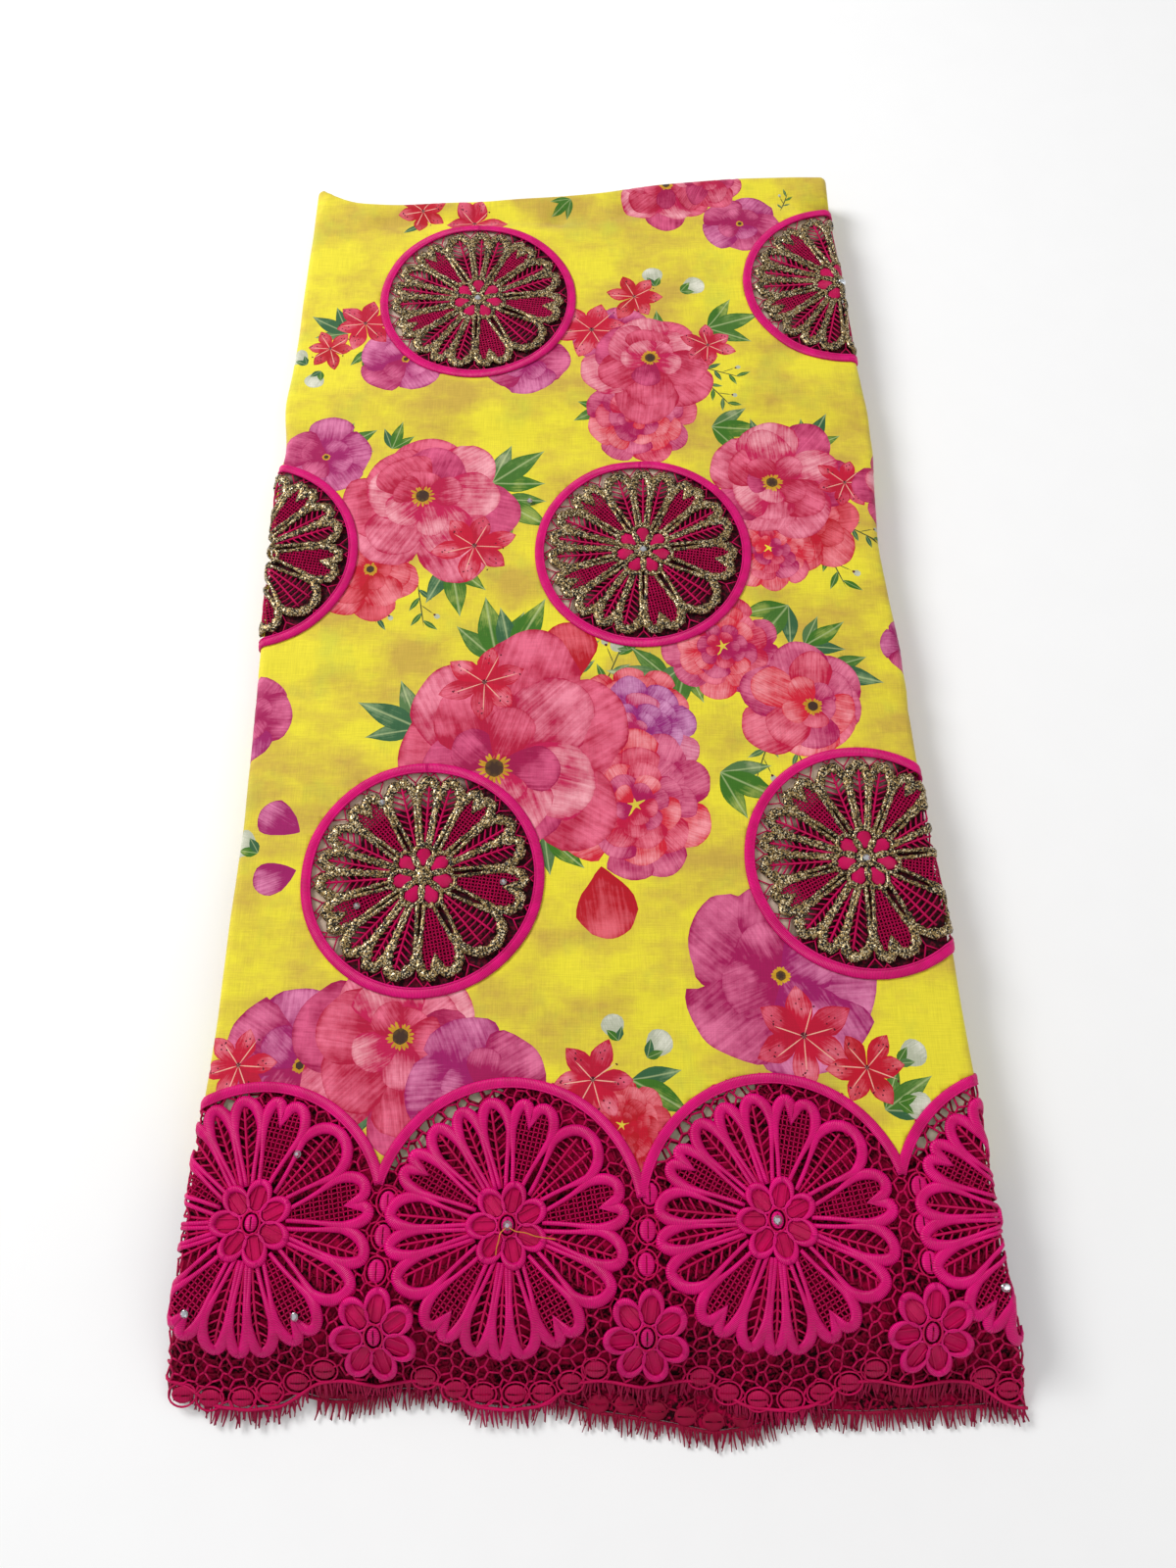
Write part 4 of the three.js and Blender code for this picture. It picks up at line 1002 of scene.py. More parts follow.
def thread_finish(name, light, dark, gloss=0.5, stripe=1.6):
    """Twisted or satin-stitched thread: fine stripes across the stitch direction, and dye variation."""
    n = Nodes(name)
    stitch = n.uv("thread")
    stripes = n.wave(stitch, stripe, 0.6)
    cloud = n.noise(n.object_place(), 130, 3)
    colour = n.mix(n.fit(cloud, 0.3, 0.7), dark, light)
    colour = n.mix(1.0, colour, n.fit(stripes, 0, 1, 0.62, 1.08), "MULTIPLY")
    n.bump(stripes, 0.55, 0.00025)
    return n.set(Base_Color=colour, Roughness=gloss, Specular_IOR_Level=0.2)


def glitter_finish():
    """Cord wrapped in metallic film: each fleck a cell of its own, black or gold, and a few pale flecks
    painted in as glints.
    """
    n = Nodes("glitter_cord")
    cell, glint_cell, _ = n.split(n.cells(n.object_place(), 2000))
    gold = n.math("GREATER_THAN", cell, 0.58)
    colour = n.mix(gold, (0.008, 0.005, 0.004), (0.38, 0.25, 0.09))
    # Pale flecks are painted highlights: glints of the film put in the colour.
    colour = n.mix(n.math("GREATER_THAN", glint_cell, 0.87), colour, (0.86, 0.72, 0.46))
    n.bump(cell, 1.0, 0.0004)
    return n.set(Base_Color=colour, Metallic=0.5, Roughness=0.36)


def shadow_net(n, here, lit):
    """A darker net below: crimson threads between nearly black holes."""
    net = n.noise(here, 560, 3, 0.6)
    n.bump(net, 0.5, 0.0006)
    return n.mix(n.fit(net, 0.46, 0.6), (0.014, 0.0, 0.002), lit)


def under_finish():
    """Lace of the layers below, in the shade of the top one."""
    n = Nodes("under_lace_shade")
    here = n.object_place()
    blots = n.noise(here, 110, 2)
    net = shadow_net(n, here, (0.34, 0.0, 0.038))
    colour = n.mix(n.fit(blots, 0.46, 0.66, 0, 0.7), net, (0.46, 0.0, 0.050))
    return n.set(Base_Color=colour, Roughness=0.85, Specular_IOR_Level=0.1)


def inset_under_finish():
    """Below an inset: the lace of the layer below, darkened as painted shade, and a crescent of bare voile by
    the rim on the side it slipped to."""
    n = Nodes("inset_under_shade")
    place_in_disc = n.uv("thread")
    x, y, _ = n.split(place_in_disc)
    radius = n.math("SQRT", n.math("ADD", n.math("MULTIPLY", x, x), n.math("MULTIPLY", y, y)))
    side = n.math("ADD", n.math("MULTIPLY", x, -0.8), n.math("MULTIPLY", y, 0.5))
    bare = n.math("MULTIPLY", n.fit(radius, 0.62, 0.72), n.fit(side, 0.12, 0.30))
    here = n.object_place()
    pale = n.mix(n.noise(here, 60, 2), (0.50, 0.42, 0.26), (0.62, 0.44, 0.40))
    colour = n.mix(bare, shadow_net(n, here, (0.12, 0.0, 0.014)), pale)
    return n.set(Base_Color=colour, Roughness=0.85, Specular_IOR_Level=0.2)


def plain_finish(name, colour, roughness, metallic=0.0):
    """One colour, with fine specks of a darker one."""
    n = Nodes(name)
    spread = n.noise(n.object_place(), 700, 2)
    darker = tuple(0.7 * c for c in colour)
    return n.set(Base_Color=n.mix(spread, darker, colour), Roughness=roughness, Metallic=metallic)


PINK = thread_finish("pink_thread", (0.80, 0.0, 0.130), (0.60, 0.0, 0.085))
SATIN = thread_finish("pink_satin", (0.84, 0.0, 0.205), (0.62, 0.0, 0.135), 0.36, 0.5)
FRINGE = thread_finish("fringe_thread", (0.50, 0.0, 0.075), (0.34, 0.0, 0.045))
SHADED = thread_finish("shaded_thread", (0.42, 0.0, 0.05), (0.28, 0.0, 0.028))
GLITTER = glitter_finish()
# Satin darkened for the hem beads, where the border droops away from the light: painted shade.
SHADED_SATIN = thread_finish("shaded_satin", (0.56, 0.0, 0.085), (0.42, 0.0, 0.055), 0.5, 0.5)
UNDER = under_finish()
BARE = plain_finish("bare_voile_shade", (0.46, 0.42, 0.30), 0.85)
INSET_UNDER = inset_under_finish()
CRYSTAL = plain_finish("clear_crystal", (0.80, 0.84, 0.90), 0.08, 0.85)
SETTING = plain_finish("steel_setting", (0.5, 0.5, 0.5), 0.25, 1.0)
GOLD_THREAD = plain_finish("gold_thread", (0.80, 0.30, 0.03), 0.4, 0.3)
CUP = plain_finish("dark_cup", (0.03, 0.025, 0.02), 0.5, 0.2)
LACE_FINISHES = [PINK, SATIN, GLITTER, UNDER, BARE, SHADED_SATIN]
INSET_FINISHES = [PINK, SATIN, GLITTER, INSET_UNDER]
PINK_AT, SATIN_AT, GLITTER_AT, UNDER_AT, BARE_AT, SHADED_SATIN_AT = range(6)


# Lace flowers

def petals_round(table):
    """Each petal's kind, its axis, and the angles half way to its neighbours, in clock order."""
    found = sorted((angle, kind) for kind, angles in table.items() for angle in angles)
    rows = []
    for k, (angle, kind) in enumerate(found):
        before = found[k - 1][0] - (360 if k == 0 else 0)
        after = found[(k + 1) % len(found)][0] + (360 if k + 1 == len(found) else 0)
        rows.append((kind, angle, (angle - before) / 2, (after - angle) / 2))
    return rows


def petal_half(radius, root, valley):
    """Share of the petal's angle that its body fills: narrow at the root, full at the valleys."""
    rise = np.clip((radius - root) / (valley - root), 0, 1)
    return 0.5 + 0.43 * rise ** 0.8


def petal_reach(share, kind, valley, tip):
    """Radius of a petal's tip: one round lobe, or two with a notch between them on a net petal."""
    if kind == "net":
        lobe = np.clip(1 - ((np.abs(share) - 0.5) / 0.5) ** 2, 0, 1) ** 0.5
        return valley + (tip - valley) * (0.25 * (1 - share ** 2) + 0.75 * lobe)
    return valley + (tip - valley) * np.clip(1 - share ** 2, 0, 1) ** 0.62


def petal_line(centre, petal, root, valley, tip):
    """A petal's outline from root to root: up one side, round its lobes, and down the other."""
    kind, axis, before, after = petal
    up = np.linspace(root, valley, 9)
    side = petal_half(up, root, valley)
    lobe = np.sin(np.linspace(-0.5, 0.5, 25 if kind == "net" else 15) * math.pi)
    share = np.concatenate([-side, 0.93 * lobe[1:-1], side[::-1]])
    radius = np.concatenate([up, petal_reach(lobe[1:-1], kind, valley, tip), up[::-1]])
    angle = axis + np.where(share < 0, share * before, share * after)
    return clock(centre, angle, radius)


def inside_petal(centre, petal, flat, root, valley, tip, margin):
    """True for flat places within a petal, clear of its outline by a margin."""
    kind, axis, before, after = petal
    away = flat - centre
    radius = np.hypot(away[:, 0], away[:, 1])
    angle = (np.degrees(np.arctan2(away[:, 0], away[:, 1])) - axis + 180) % 360 - 180
    share = np.where(angle < 0, angle / before, angle / after)
    edge = margin / np.maximum(np.radians(np.where(angle < 0, before, after)) * radius, 1e-6)
    side = np.abs(share) < petal_half(radius, root, valley) - edge
    reach = petal_reach(np.clip(share / 0.93, -1, 1), kind, valley, tip)
    return side & (radius > root) & (radius < np.where(np.abs(share) < 0.93, reach, 0) - margin)


def net_threads(centre, petal, root, valley, tip, pitch, margin):
    """Ends of the net's short threads in a petal: a square net along and across the petal's axis."""
    steps = np.arange(-11, 11.01, pitch)
    along = np.arange(root, tip, pitch)
    across, away = np.meshgrid(steps, along)
    wobble = 0.13 * pitch * np.sin(3.1 * across + 1.7 * away)
    across, away = across + wobble, away + wobble[::-1]
    nodes = turned(centre, petal[1], away, across)
    inside = inside_petal(np.array(centre), petal, nodes.reshape(-1, 2), root, valley, tip, margin)
    inside = inside.reshape(across.shape)
    starts, ends = [], []
    for a, b, m in ((nodes[:, :-1], nodes[:, 1:], inside[:, :-1] | inside[:, 1:]),
                    (nodes[:-1], nodes[1:], inside[:-1] | inside[1:])):
        starts.append(a[m])
        ends.append(b[m])
    return np.concatenate(starts), np.concatenate(ends)


def vein_threads(centre, petal, root, tip, first, pitch, width):
    """Ends of the barbs on a midrib: pairs that slant towards the tip."""
    angle = petal[1]
    at = np.arange(root + first, tip - 2, pitch)
    half = np.minimum(width, 0.86 * np.radians((petal[2] + petal[3]) / 2) * (at + 3))
    half = half * np.clip((tip + 3 - at) / 8, 0.3, 1)
    starts = clock(centre, angle, at)
    reach = at + 0.75 * half
    spread = np.degrees(half / reach)
    ends = [clock(centre, angle + side * spread, reach) for side in (-1, 1)]
    return np.concatenate([starts, starts]), np.concatenate(ends)


def lace_flower(stitched, centre, table, sizes, outline, lift):
    """One lace flower: petals outlined by a cord, filled with net, veins or ladders."""
    root, valley, tip = sizes["root"], sizes["valley"], sizes["tip"]
    for petal in petals_round(table):
        kind, angle = petal[:2]
        line = petal_line(centre, petal, root, valley, tip)
        outline(stitched, line, np.hypot(*(line - centre).T))
        if kind == "net":
            pitch = sizes["net_pitch"]
            a, b = net_threads(centre, petal, root, valley, tip, pitch, sizes["margin"])
            threads(stitched, a, b, sizes["net_thread"], lift + 0.35, PINK_AT)
            continue
        ribs = (-0.30, 0.30) if kind == "ladder" else (0,)
        end = tip - (4.5 if kind == "ladder" else 2.5)
        for rib in ribs:
            radius = np.linspace(root, end, 8)
            offset = rib * petal_half(radius, root, valley) * (petal[2] + petal[3]) / 2
            sweep(stitched, clock(centre, angle + offset, radius), 0.55, 0.5, lift + 0.3, PINK_AT, 5)
        if kind == "vein":
            a, b = vein_threads(centre, petal, root, tip, 3.5, sizes["barb_pitch"], 5.2)
            threads(stitched, a, b, 0.42, lift + 0.2, PINK_AT, 4)
        else:
            for radius in np.arange(root + 3, tip - 4, 2.7):
                half = petal_half(np.array([radius]), root, valley)[0] * (petal[2] + petal[3]) / 2
                ends = clock(centre, angle + half * np.linspace(-0.9, 0.9, 6), radius)
                threads(stitched, ends[:-1], ends[1:], 0.4, lift + 0.1, PINK_AT, 4)


def rim_brides(stitched, centre, table, sizes, rim_radius, lift):
    """Forked threads that hold the flower in its rim: a short one at each lobe, a long one between."""
    for kind, angle, before, after in petals_round(table):
        valley = angle + after
        forks = [(valley, sizes["valley"] + 3.2, rim_radius - 4.5, 4.6)]
        tips = (angle - 0.5 * before, angle + 0.5 * after) if kind == "net" else (angle,)
        forks += [(at, sizes["tip"], rim_radius - 1.8, 2.2) for at in tips]
        for at, low, knee, spread in forks:
            base, joint = clock(centre, at, low), clock(centre, at, knee)
            left = clock(centre, at - spread, rim_radius + 0.4)
            right = clock(centre, at + spread, rim_radius + 0.4)
            threads(stitched, [base, joint, joint], [joint, left, right], 0.34, lift, PINK_AT, 4)


def gold_outline(stitched, line, radius):
    """Glitter cord, sewn in turns side by side round the lobes and single towards the root."""
    fine, at = refined(line, 2 * len(line) - 1)
    lump = 1 + 0.16 * np.sin(2.3 * at + line[0, 0]) + 0.1 * np.sin(5.1 * at)
    share = np.clip((np.interp(at, np.arange(len(line)), radius) - 27) / 16, 0, 1)
    width = 0.95 + 1.5 * share
    sweep(stitched, fine, width * lump, (0.9 + 0.1 * width) * lump, 1.15, GLITTER_AT, 8)


def oval(centre, angle, long, wide, count=24):
    """An oval line with its long axis at a clock angle, and how far each point lies along that axis."""
    around = 2 * math.pi * np.arange(count) / count
    return turned(centre, angle, long * np.cos(around), wide * np.sin(around)), np.cos(around)


def gold_rosette(stitched, centre, radius, lift):
    """Seven pink pads, each ringed by glitter cord, round an oval glitter knot."""
    for k in range(7):
        angle = 360 * k / 7
        middle = clock(centre, angle, 0.60 * radius)
        dome(stitched, middle, angle, 0.29 * radius, 0.22 * radius, 0.9, lift + 0.4, PINK_AT)
        line, _ = oval(middle, angle, 0.38 * radius, 0.30 * radius)
        sweep(stitched, line, 1.0, 0.9, lift + 0.7, GLITTER_AT, 7, closed=True)
    dome(stitched, centre, 0, 0.27 * radius, 0.2 * radius, 1.1, lift + 0.7, GLITTER_AT)


def satin_rosette(stitched, centre, radius, lift, start):
    """Seven round petals: each a low stitched middle inside a crescent of padded satin, thick on its
    outer side. A slit oval pad with a ring sits in the middle."""
    for k in range(7):
        angle = 360 * k / 7 + start
        middle = clock(centre, angle, 0.62 * radius)
        dome(stitched, middle, angle, 0.33 * radius, 0.23 * radius, 0.3, lift, PINK_AT, cut=0.25)
        for share in (-0.11, 0.11):
            seam = clock(middle, angle + 90, share * radius)
            ends = clock(seam, angle, 0.26 * radius), clock(seam, angle + 180, 0.26 * radius)
            sweep(stitched, np.linspace(ends[1], ends[0], 5), 0.32, 0.32, lift + 0.55, PINK_AT, 5)
        line, outward = oval(middle, angle, 0.36 * radius, 0.27 * radius)
        thick = 0.5 + 0.95 * np.clip(outward + 0.25, 0, 1)
        sweep(stitched, line, thick, 0.75 * thick, lift + 0.6, SATIN_AT, 8, closed=True)
    dome(stitched, centre, 0, 0.21 * radius, 0.16 * radius, 1.0, lift + 0.4, SATIN_AT, cut=0.3)
    slit_line(stitched, centre, 0, 0.15 * radius, lift + 1.4)
    line, _ = oval(centre, 0, 0.28 * radius, 0.23 * radius, 18)
    sweep(stitched, line, 0.45, 0.45, lift + 0.7, PINK_AT, 6, closed=True)


MEDALLION_SIZES = {
    "root": 13, "valley": 35.5, "tip": 46.3, "margin": 0.3,
    "net_pitch": 1.55, "net_thread": 0.42, "barb_pitch": 3.1,
}
BORDER_SIZES = {
    "root": 14, "valley": 36, "tip": 47.6, "margin": 0.5,
    "net_pitch": 1.9, "net_thread": 0.42, "barb_pitch": 3.7,
}


def build_medallion(name, centre):
    """An inset: its flower, bars and rosette over the shaded layer below, and its satin rim."""
    lace = Stitched()
    lace_flower(lace, centre, MEDALLION_PETALS, MEDALLION_SIZES, gold_outline, NET_LIFT)
    rim_brides(lace, centre, MEDALLION_PETALS, MEDALLION_SIZES, MEDALLION_RADIUS - RIM_WIDTH, NET_LIFT)
    gold_rosette(lace, centre, 15.5, 0.8)
    shade_disc(lace, centre, MEDALLION_RADIUS - 1.5)
    piece = lace.make(name + "_guipure", INSET_FINISHES, [name + "_lace"])
    rim = Stitched()
    around = np.linspace(0, 360, 221)[:-1]
    sweep(rim, clock(centre, around, MEDALLION_RADIUS - RIM_WIDTH / 2), RIM_WIDTH / 2, 0.85, 0.95, 0, 12,
          closed=True)
    inner = clock(centre, around, MEDALLION_RADIUS - RIM_WIDTH + 0.5)
    sweep(rim, inner, 0.55, 0.55, 1.35, 0, 6, closed=True)
    edge = rim.make(name + "_satin_rim", [SATIN], [name + "_rim"])
    return [piece, edge]


def shade_disc(stitched, centre, radius):
    """The layer below an inset: a round sheet just under the lace, cut at the fold."""
    rings, around = 16, 60
    share = np.linspace(0, 1, rings)
    angle = np.arange(around) * 360 / around
    flat = clock(centre, np.tile(angle, rings), radius * np.repeat(share, around))
    points, _ = fold_over(flat, np.full(len(flat), INSET_SHADE_LIFT))
    faces = grid_faces(rings, around, closed=True)
    keep = past_fold(flat)[faces].max(1) < FOLD_REACH
    keep[:around] = False
    i = around + np.arange(around)
    fan = np.stack([i, around + (i + 1) % around, np.zeros(around, int)], 1)
    fan = fan[past_fold(flat)[fan].max(1) < FOLD_REACH]
    stitched.add(points, UNDER_AT, (flat - centre) / radius, faces[keep], fan)


# Folded layers

def side_loop():
    """Flat places along the cloth's inner fold lines, and the way out at each: up the left side, round
    the far corners, and down the right side to the near row."""
    ys = np.linspace(PILE_NEAR, PILE_FAR, 150)
    left = np.stack([left_fold(ys), ys], 1)
    right = np.stack([right_fold(ys), ys], 1)[::-1]
    corner = np.linspace(0, 90, 7)[1:-1]
    xs = np.linspace(left[-1, 0], right[0, 0], 70)
    far = np.stack([xs, far_fold(xs)], 1)
    near_x = np.linspace(right[-1, 0], left[0, 0], 60)[1:-1]
    near = np.stack([near_x, np.full(len(near_x), float(PILE_NEAR))], 1)
    up_left = np.linspace(left[-1], far[0], 8)[1:-1]
    down_right = np.linspace(far[-1], right[0], 8)[1:-1]
    places = np.concatenate([left, up_left, np.repeat(far[:1], len(corner), 0), far,
                             np.repeat(far[-1:], len(corner), 0), down_right, right, near])
    turn = np.concatenate([np.full(len(left) + len(up_left), 180.0), 180 - corner, np.full(len(far), 90.0),
                           90 - corner, np.full(len(down_right) + len(right), 0.0),
                           np.full(len(near), 270.0)])
    out = np.stack([np.cos(np.radians(turn)), np.sin(np.radians(turn))], 1)
    return places, out


def pile_drop(y):
    """Depth of the hidden layers under the cloth: deeper below the border, whose lace is double."""
    return PILE_DROP + 2.6 * np.clip((70 - y) / 25, 0, 1)


def build_pile():
    """Hidden layers as one closed body. Its side is a stack of folds: each bulges as a half circle, and
    set in or out along the length by slow sines of its own."""
    places, out = side_loop()
    count = len(places)
    s = np.arange(count)
    middle = np.array(PILE_MIDDLE)
    rows, heights = [], []
    for share in np.linspace(0.02, 0.96, TOP_ROWS):
        flat = middle + share * (places - middle)
        rows.append(flat)
        heights.append(surface(flat[:, 0], flat[:, 1]) - pile_drop(flat[:, 1]))
    top = surface(places[:, 0], places[:, 1]) - pile_drop(places[:, 1])
    for k in range(SIDE_FOLDS):
        tall = 0.5 + 0.35 * math.sin(2.4 * k)
        inset = 1.3 + 0.9 * math.sin(5.3 * k) + 0.8 * np.sin(s / (17 + 3 * (k % 4)) + 2.1 * k)
        inset = inset + 0.35 * np.sin(s / 6.1 + 1.3 * k)
        for q in np.linspace(-0.95, 0.95, FOLD_ROWS):
            low = (k + 0.5 + 0.5 * q) / SIDE_FOLDS
            reach = 4.1 - inset - 1.1 * (1 - math.sqrt(1 - q * q)) * (1 + 0.3 * tall)
            rows.append(places + out * reach[:, None])
            heights.append((top - 0.6) * (1 - low) + 0.15)
    for share in (0.97, 0.6, 0.02):
        rows.append(middle + share * (places - middle))
        heights.append(np.full(count, 0.05))
    points = np.concatenate([np.column_stack([flat, z]) for flat, z in zip(rows, heights)])
    faces = grid_faces(len(rows), count, closed=True)
    last = (len(rows) - 1) * count
    poles = np.array([[middle[0], middle[1], heights[0].mean()], [middle[0], middle[1], 0.05]])
    first_pole = len(points)
    j = (s + 1) % count
    caps = np.concatenate([np.stack([j, s, np.full(count, first_pole)], 1),
                           np.stack([last + s, last + j, np.full(count, first_pole + 1)], 1)])
    points = np.concatenate([points, poles])
    pile = Stitched()
    pile.add(points, 0, points[:, :2] / 1000, faces, caps)
    return pile.make("folded_layers_edges", [pile_finish()], ["folded_layers"])


# The guipure border

def hem_line(x):
    """The border's hem: its table read at the distance from the nearest flower's middle."""
    away = np.min([np.abs(x - s[0]) for s in SCALLOPS], axis=0)
    return read_smooth(away, HEM["away"], HEM["y"], 3)


def under_hem_line(x):
    """The second layer's hem."""
    return read_smooth(x, UNDER_HEM["x"], UNDER_HEM["y"], 4)


def in_border(flat, shrink):
    """True for places on the guipure border, in from the outer line of its band by shrink."""
    inside = flat[:, 1] < BAND_POINT
    for x, y, radius in SCALLOPS:
        inside |= distance(flat, x, y) < radius - shrink
    return inside


def satin_outline(stitched, line, radius):
    """Padded satin: wide and crowned round the petal's lobes, narrow towards its root."""
    share = np.clip((radius - 26) / 18, 0, 1)
    width = 0.9 + 1.55 * share * share * (3 - 2 * share)
    sweep(stitched, line, width, 0.45 + 0.22 * width, SATIN_LIFT, SATIN_AT, 8)


def moved_knots(knots, pitch):
    """A net's knots, each moved a little by sines of its own place, so threads that meet still do."""
    key = np.round(knots[:, 0] * 7 + knots[:, 1] * 13)
    return knots + 0.13 * pitch * np.stack([np.sin(key * 1.3), np.cos(key * 2.1)], 1)


def hex_threads(pitch, low, high):
    """Ends of a bride net's threads: three sides of each cell of a honeycomb, its knots a little off."""
    side = pitch / math.sqrt(3)
    columns, rows = int(NET_WIDE / (1.5 * side)), int((high - low) / pitch) + 2
    i, j = np.meshgrid(np.arange(columns), np.arange(rows))
    x = NET_LEFT + 1.5 * side * i
    y = low + pitch * (j + 0.5 * (i % 2))
    centres = np.stack([x.ravel(), y.ravel()], 1)
    turn = np.arange(4) * math.pi / 3
    corners = side * np.stack([np.cos(turn), np.sin(turn)], 1)
    starts = np.concatenate([centres + corner for corner in corners[:3]])
    ends = np.concatenate([centres + corner for corner in corners[1:]])
    return moved_knots(starts, pitch), moved_knots(ends, pitch)


def clear_of_flowers(flat, radius, blossom_radius):
    """True for places outside the lace flowers, the raised ones and the beads."""
    clear = np.ones(len(flat), bool)
    for x, y, _ in SCALLOPS:
        clear &= distance(flat, x, y) > radius
    for x, y in BLOSSOMS.values():
        clear &= distance(flat, x, y) > blossom_radius
    for x, y in COLUMN_BEADS + HEM_BEADS:
        clear &= distance(flat, x, y) > BEAD_CLEAR
    return clear


def slit_line(stitched, centre, angle, half, lift):
    """The line where a pad's two rows of stitches meet, sunk a little and drawn in the under-lace colour:
    painted shade in the slit.
    """
    line = np.linspace(clock(centre, angle + 180, half), clock(centre, angle, half), 7)
    sink = 0.35 * np.linspace(-1, 1, 7) ** 2
    sweep(stitched, line, 0.26, 0.12, lift - sink, UNDER_AT, 4)


def bead(stitched, x, y, upright, lift, finish=SATIN_AT):
    """An oval satin pad with a slit, and a fine cord round it."""
    angle = 0 if upright else 90
    dome(stitched, (x, y), angle, 4.4, 3.4, 1.0, lift, finish, cut=0.3)
    slit_line(stitched, (x, y), angle, 3.2, lift + 0.95)
    line, _ = oval((x, y), angle, 5.5, 4.6, 20)
    sweep(stitched, line, 0.42, 0.42, lift + 0.1, PINK_AT, 5, closed=True)


def build_border():
    """The border: lace flowers, beads, honeycomb net and hem cord."""
    lace = Stitched()
    for x, y, radius in SCALLOPS:
        lace_flower(lace, (x, y), BORDER_PETALS, BORDER_SIZES, satin_outline, NET_LIFT)
        satin_rosette(lace, (x, y), 16, 1.0, 12)
        bare_crescent(lace, (x, y), radius)
    for x, y in COLUMN_BEADS:
        bead(lace, x, y, True, 0.7)
    # The hem beads take the darker satin: painted shade on the drooping hem.
    for x, y in HEM_BEADS:
        bead(lace, x, y, False, 0.6, SHADED_SATIN_AT)
    a, b = hex_threads(5.6, -6, 130)
    middle = (a + b) / 2
    keep = in_border(middle, 1) & clear_of_flowers(middle, 43, 14)
    keep &= middle[:, 1] > hem_line(middle[:, 0]) + 1
    threads(lace, a[keep], b[keep], 0.48, NET_LIFT, PINK_AT, 4)
    hem_x = np.arange(-170, 176, 1.5)
    hem = np.stack([hem_x, hem_line(hem_x)], 1)
    sweep(lace, hem, 0.7, 0.6, NET_LIFT, PINK_AT, 6)
    return lace.make("border_guipure", LACE_FINISHES, ["border_lace"])


def build_band():
    """Satin band along the scallops: each arc runs between the points where it crosses its neighbours."""
    band = Stitched()
    last = len(SCALLOPS) - 1
    for k, (x, y, radius) in enumerate(SCALLOPS):
        start = -100.0 if k == 0 else crossing_angle(SCALLOPS[k], SCALLOPS[k - 1])
        end = 100.0 if k == last else crossing_angle(SCALLOPS[k], SCALLOPS[k + 1])
        angles = np.linspace(start, end, 90)
        sweep(band, clock((x, y), angles, radius - BAND_WIDTH / 2), BAND_WIDTH / 2, 0.8, 1.0, 0, 12)
        sweep(band, clock((x, y), angles, radius - BAND_WIDTH + 0.3), 0.45, 0.45, 1.25, 0, 6)
    return band.make("scallop_satin_band", [SATIN], ["scallop_band"])


def crossing_angle(one, two):
    """Clock angle on one arc's middle line at its upper crossing with the other's, and a little past."""
    r1, r2 = one[2] - BAND_WIDTH / 2, two[2] - BAND_WIDTH / 2
    dx, dy = two[0] - one[0], two[1] - one[1]
    apart = math.hypot(dx, dy)
    along = (r1 * r1 - r2 * r2 + apart * apart) / (2 * apart)
    aside = math.sqrt(r1 * r1 - along * along)
    side = math.copysign(1, dx)
    x = (along * dx - side * aside * dy) / apart
    y = (along * dy + side * aside * dx) / apart
    return math.degrees(math.atan2(x, y)) + BAND_PAST * side


def build_blossom(name, centre):
    """A raised flower sewn on the border."""
    blossom = Stitched()
    satin_rosette(blossom, centre, 16.5, 1.7, 8)
    return blossom.make(name + "_satin", LACE_FINISHES, [name])


def bare_crescent(stitched, centre, radius):
    """Bare voile that shows between the petals and the band, where the layer below has slipped: a
    strip that narrows to both ends."""
    rows, columns = 4, 34
    share = np.linspace(0, 1, columns)
    deep = 9.5 * np.sin(math.pi * share) ** 0.5
    away = radius - 3 - np.linspace(1, 0, rows)[:, None] * deep[None]
    flat = clock(centre, np.tile(-68 + 66 * share, rows), away.ravel())
    points, _ = fold_over(flat, np.full(len(flat), CRESCENT_LIFT))
    faces = grid_faces(rows, columns)[:, ::-1]
    stitched.add(points, BARE_AT, flat / 10, faces[past_fold(flat)[faces].max(1) < FOLD_REACH])


def build_under_border():
    """The border's second layer: a shaded sheet with its own net, beads and hem, just below the first."""
    under = Stitched()
    columns, rows = 120, 44
    share = np.linspace(0, 1, rows)
    reach = FOLD_REACH - 0.1
    left, right = left_fold(3 + 124 * share) - reach, right_fold(3 + 124 * share) + reach
    xs = left[:, None] + np.linspace(0, 1, columns) * (right - left)[:, None]
    low = np.minimum(under_hem_line(xs), hem_line(xs)) + 0.8
    y = low + share[:, None] * (127 - low)
    flat = np.stack([xs.ravel(), y.ravel()], 1)
    over = past_fold(flat)
    points, _ = fold_over(flat, -1.5 + 1.2 * np.clip(over / 2, 0, 1))
    faces = grid_faces(rows, columns)
    keep = (over[faces].max(1) < FOLD_REACH + 1.5) & in_border(flat, 0)[faces].all(1)
    under.add(points, UNDER_AT, flat, faces[keep])
    a, b = hex_threads(6.3, -10, 130)
    middle = (a + b) / 2
    inside = in_border(middle, 3) & (middle[:, 1] > np.minimum(under_hem_line(middle[:, 0]), 4) + 1)
    threads(under, a[inside], b[inside], 0.5, -0.9, PINK_AT, 4)
    for x, y in UNDER_BEADS:
        dome(under, (x, y), 90, 4.5, 3.6, 0.9, -0.8, PINK_AT, cut=0.3)
        slit_line(under, (x, y), 90, 3.2, 0.1)
    hem_x = np.arange(-168, 176, 1.5)
    hem = np.stack([hem_x, under_hem_line(hem_x)], 1)
    sweep(under, hem, 0.7, 0.5, -1.1, PINK_AT, 6)
    finishes = [SHADED, SATIN, GLITTER, UNDER]
    return under.make("under_border_guipure", finishes, ["under_border"])


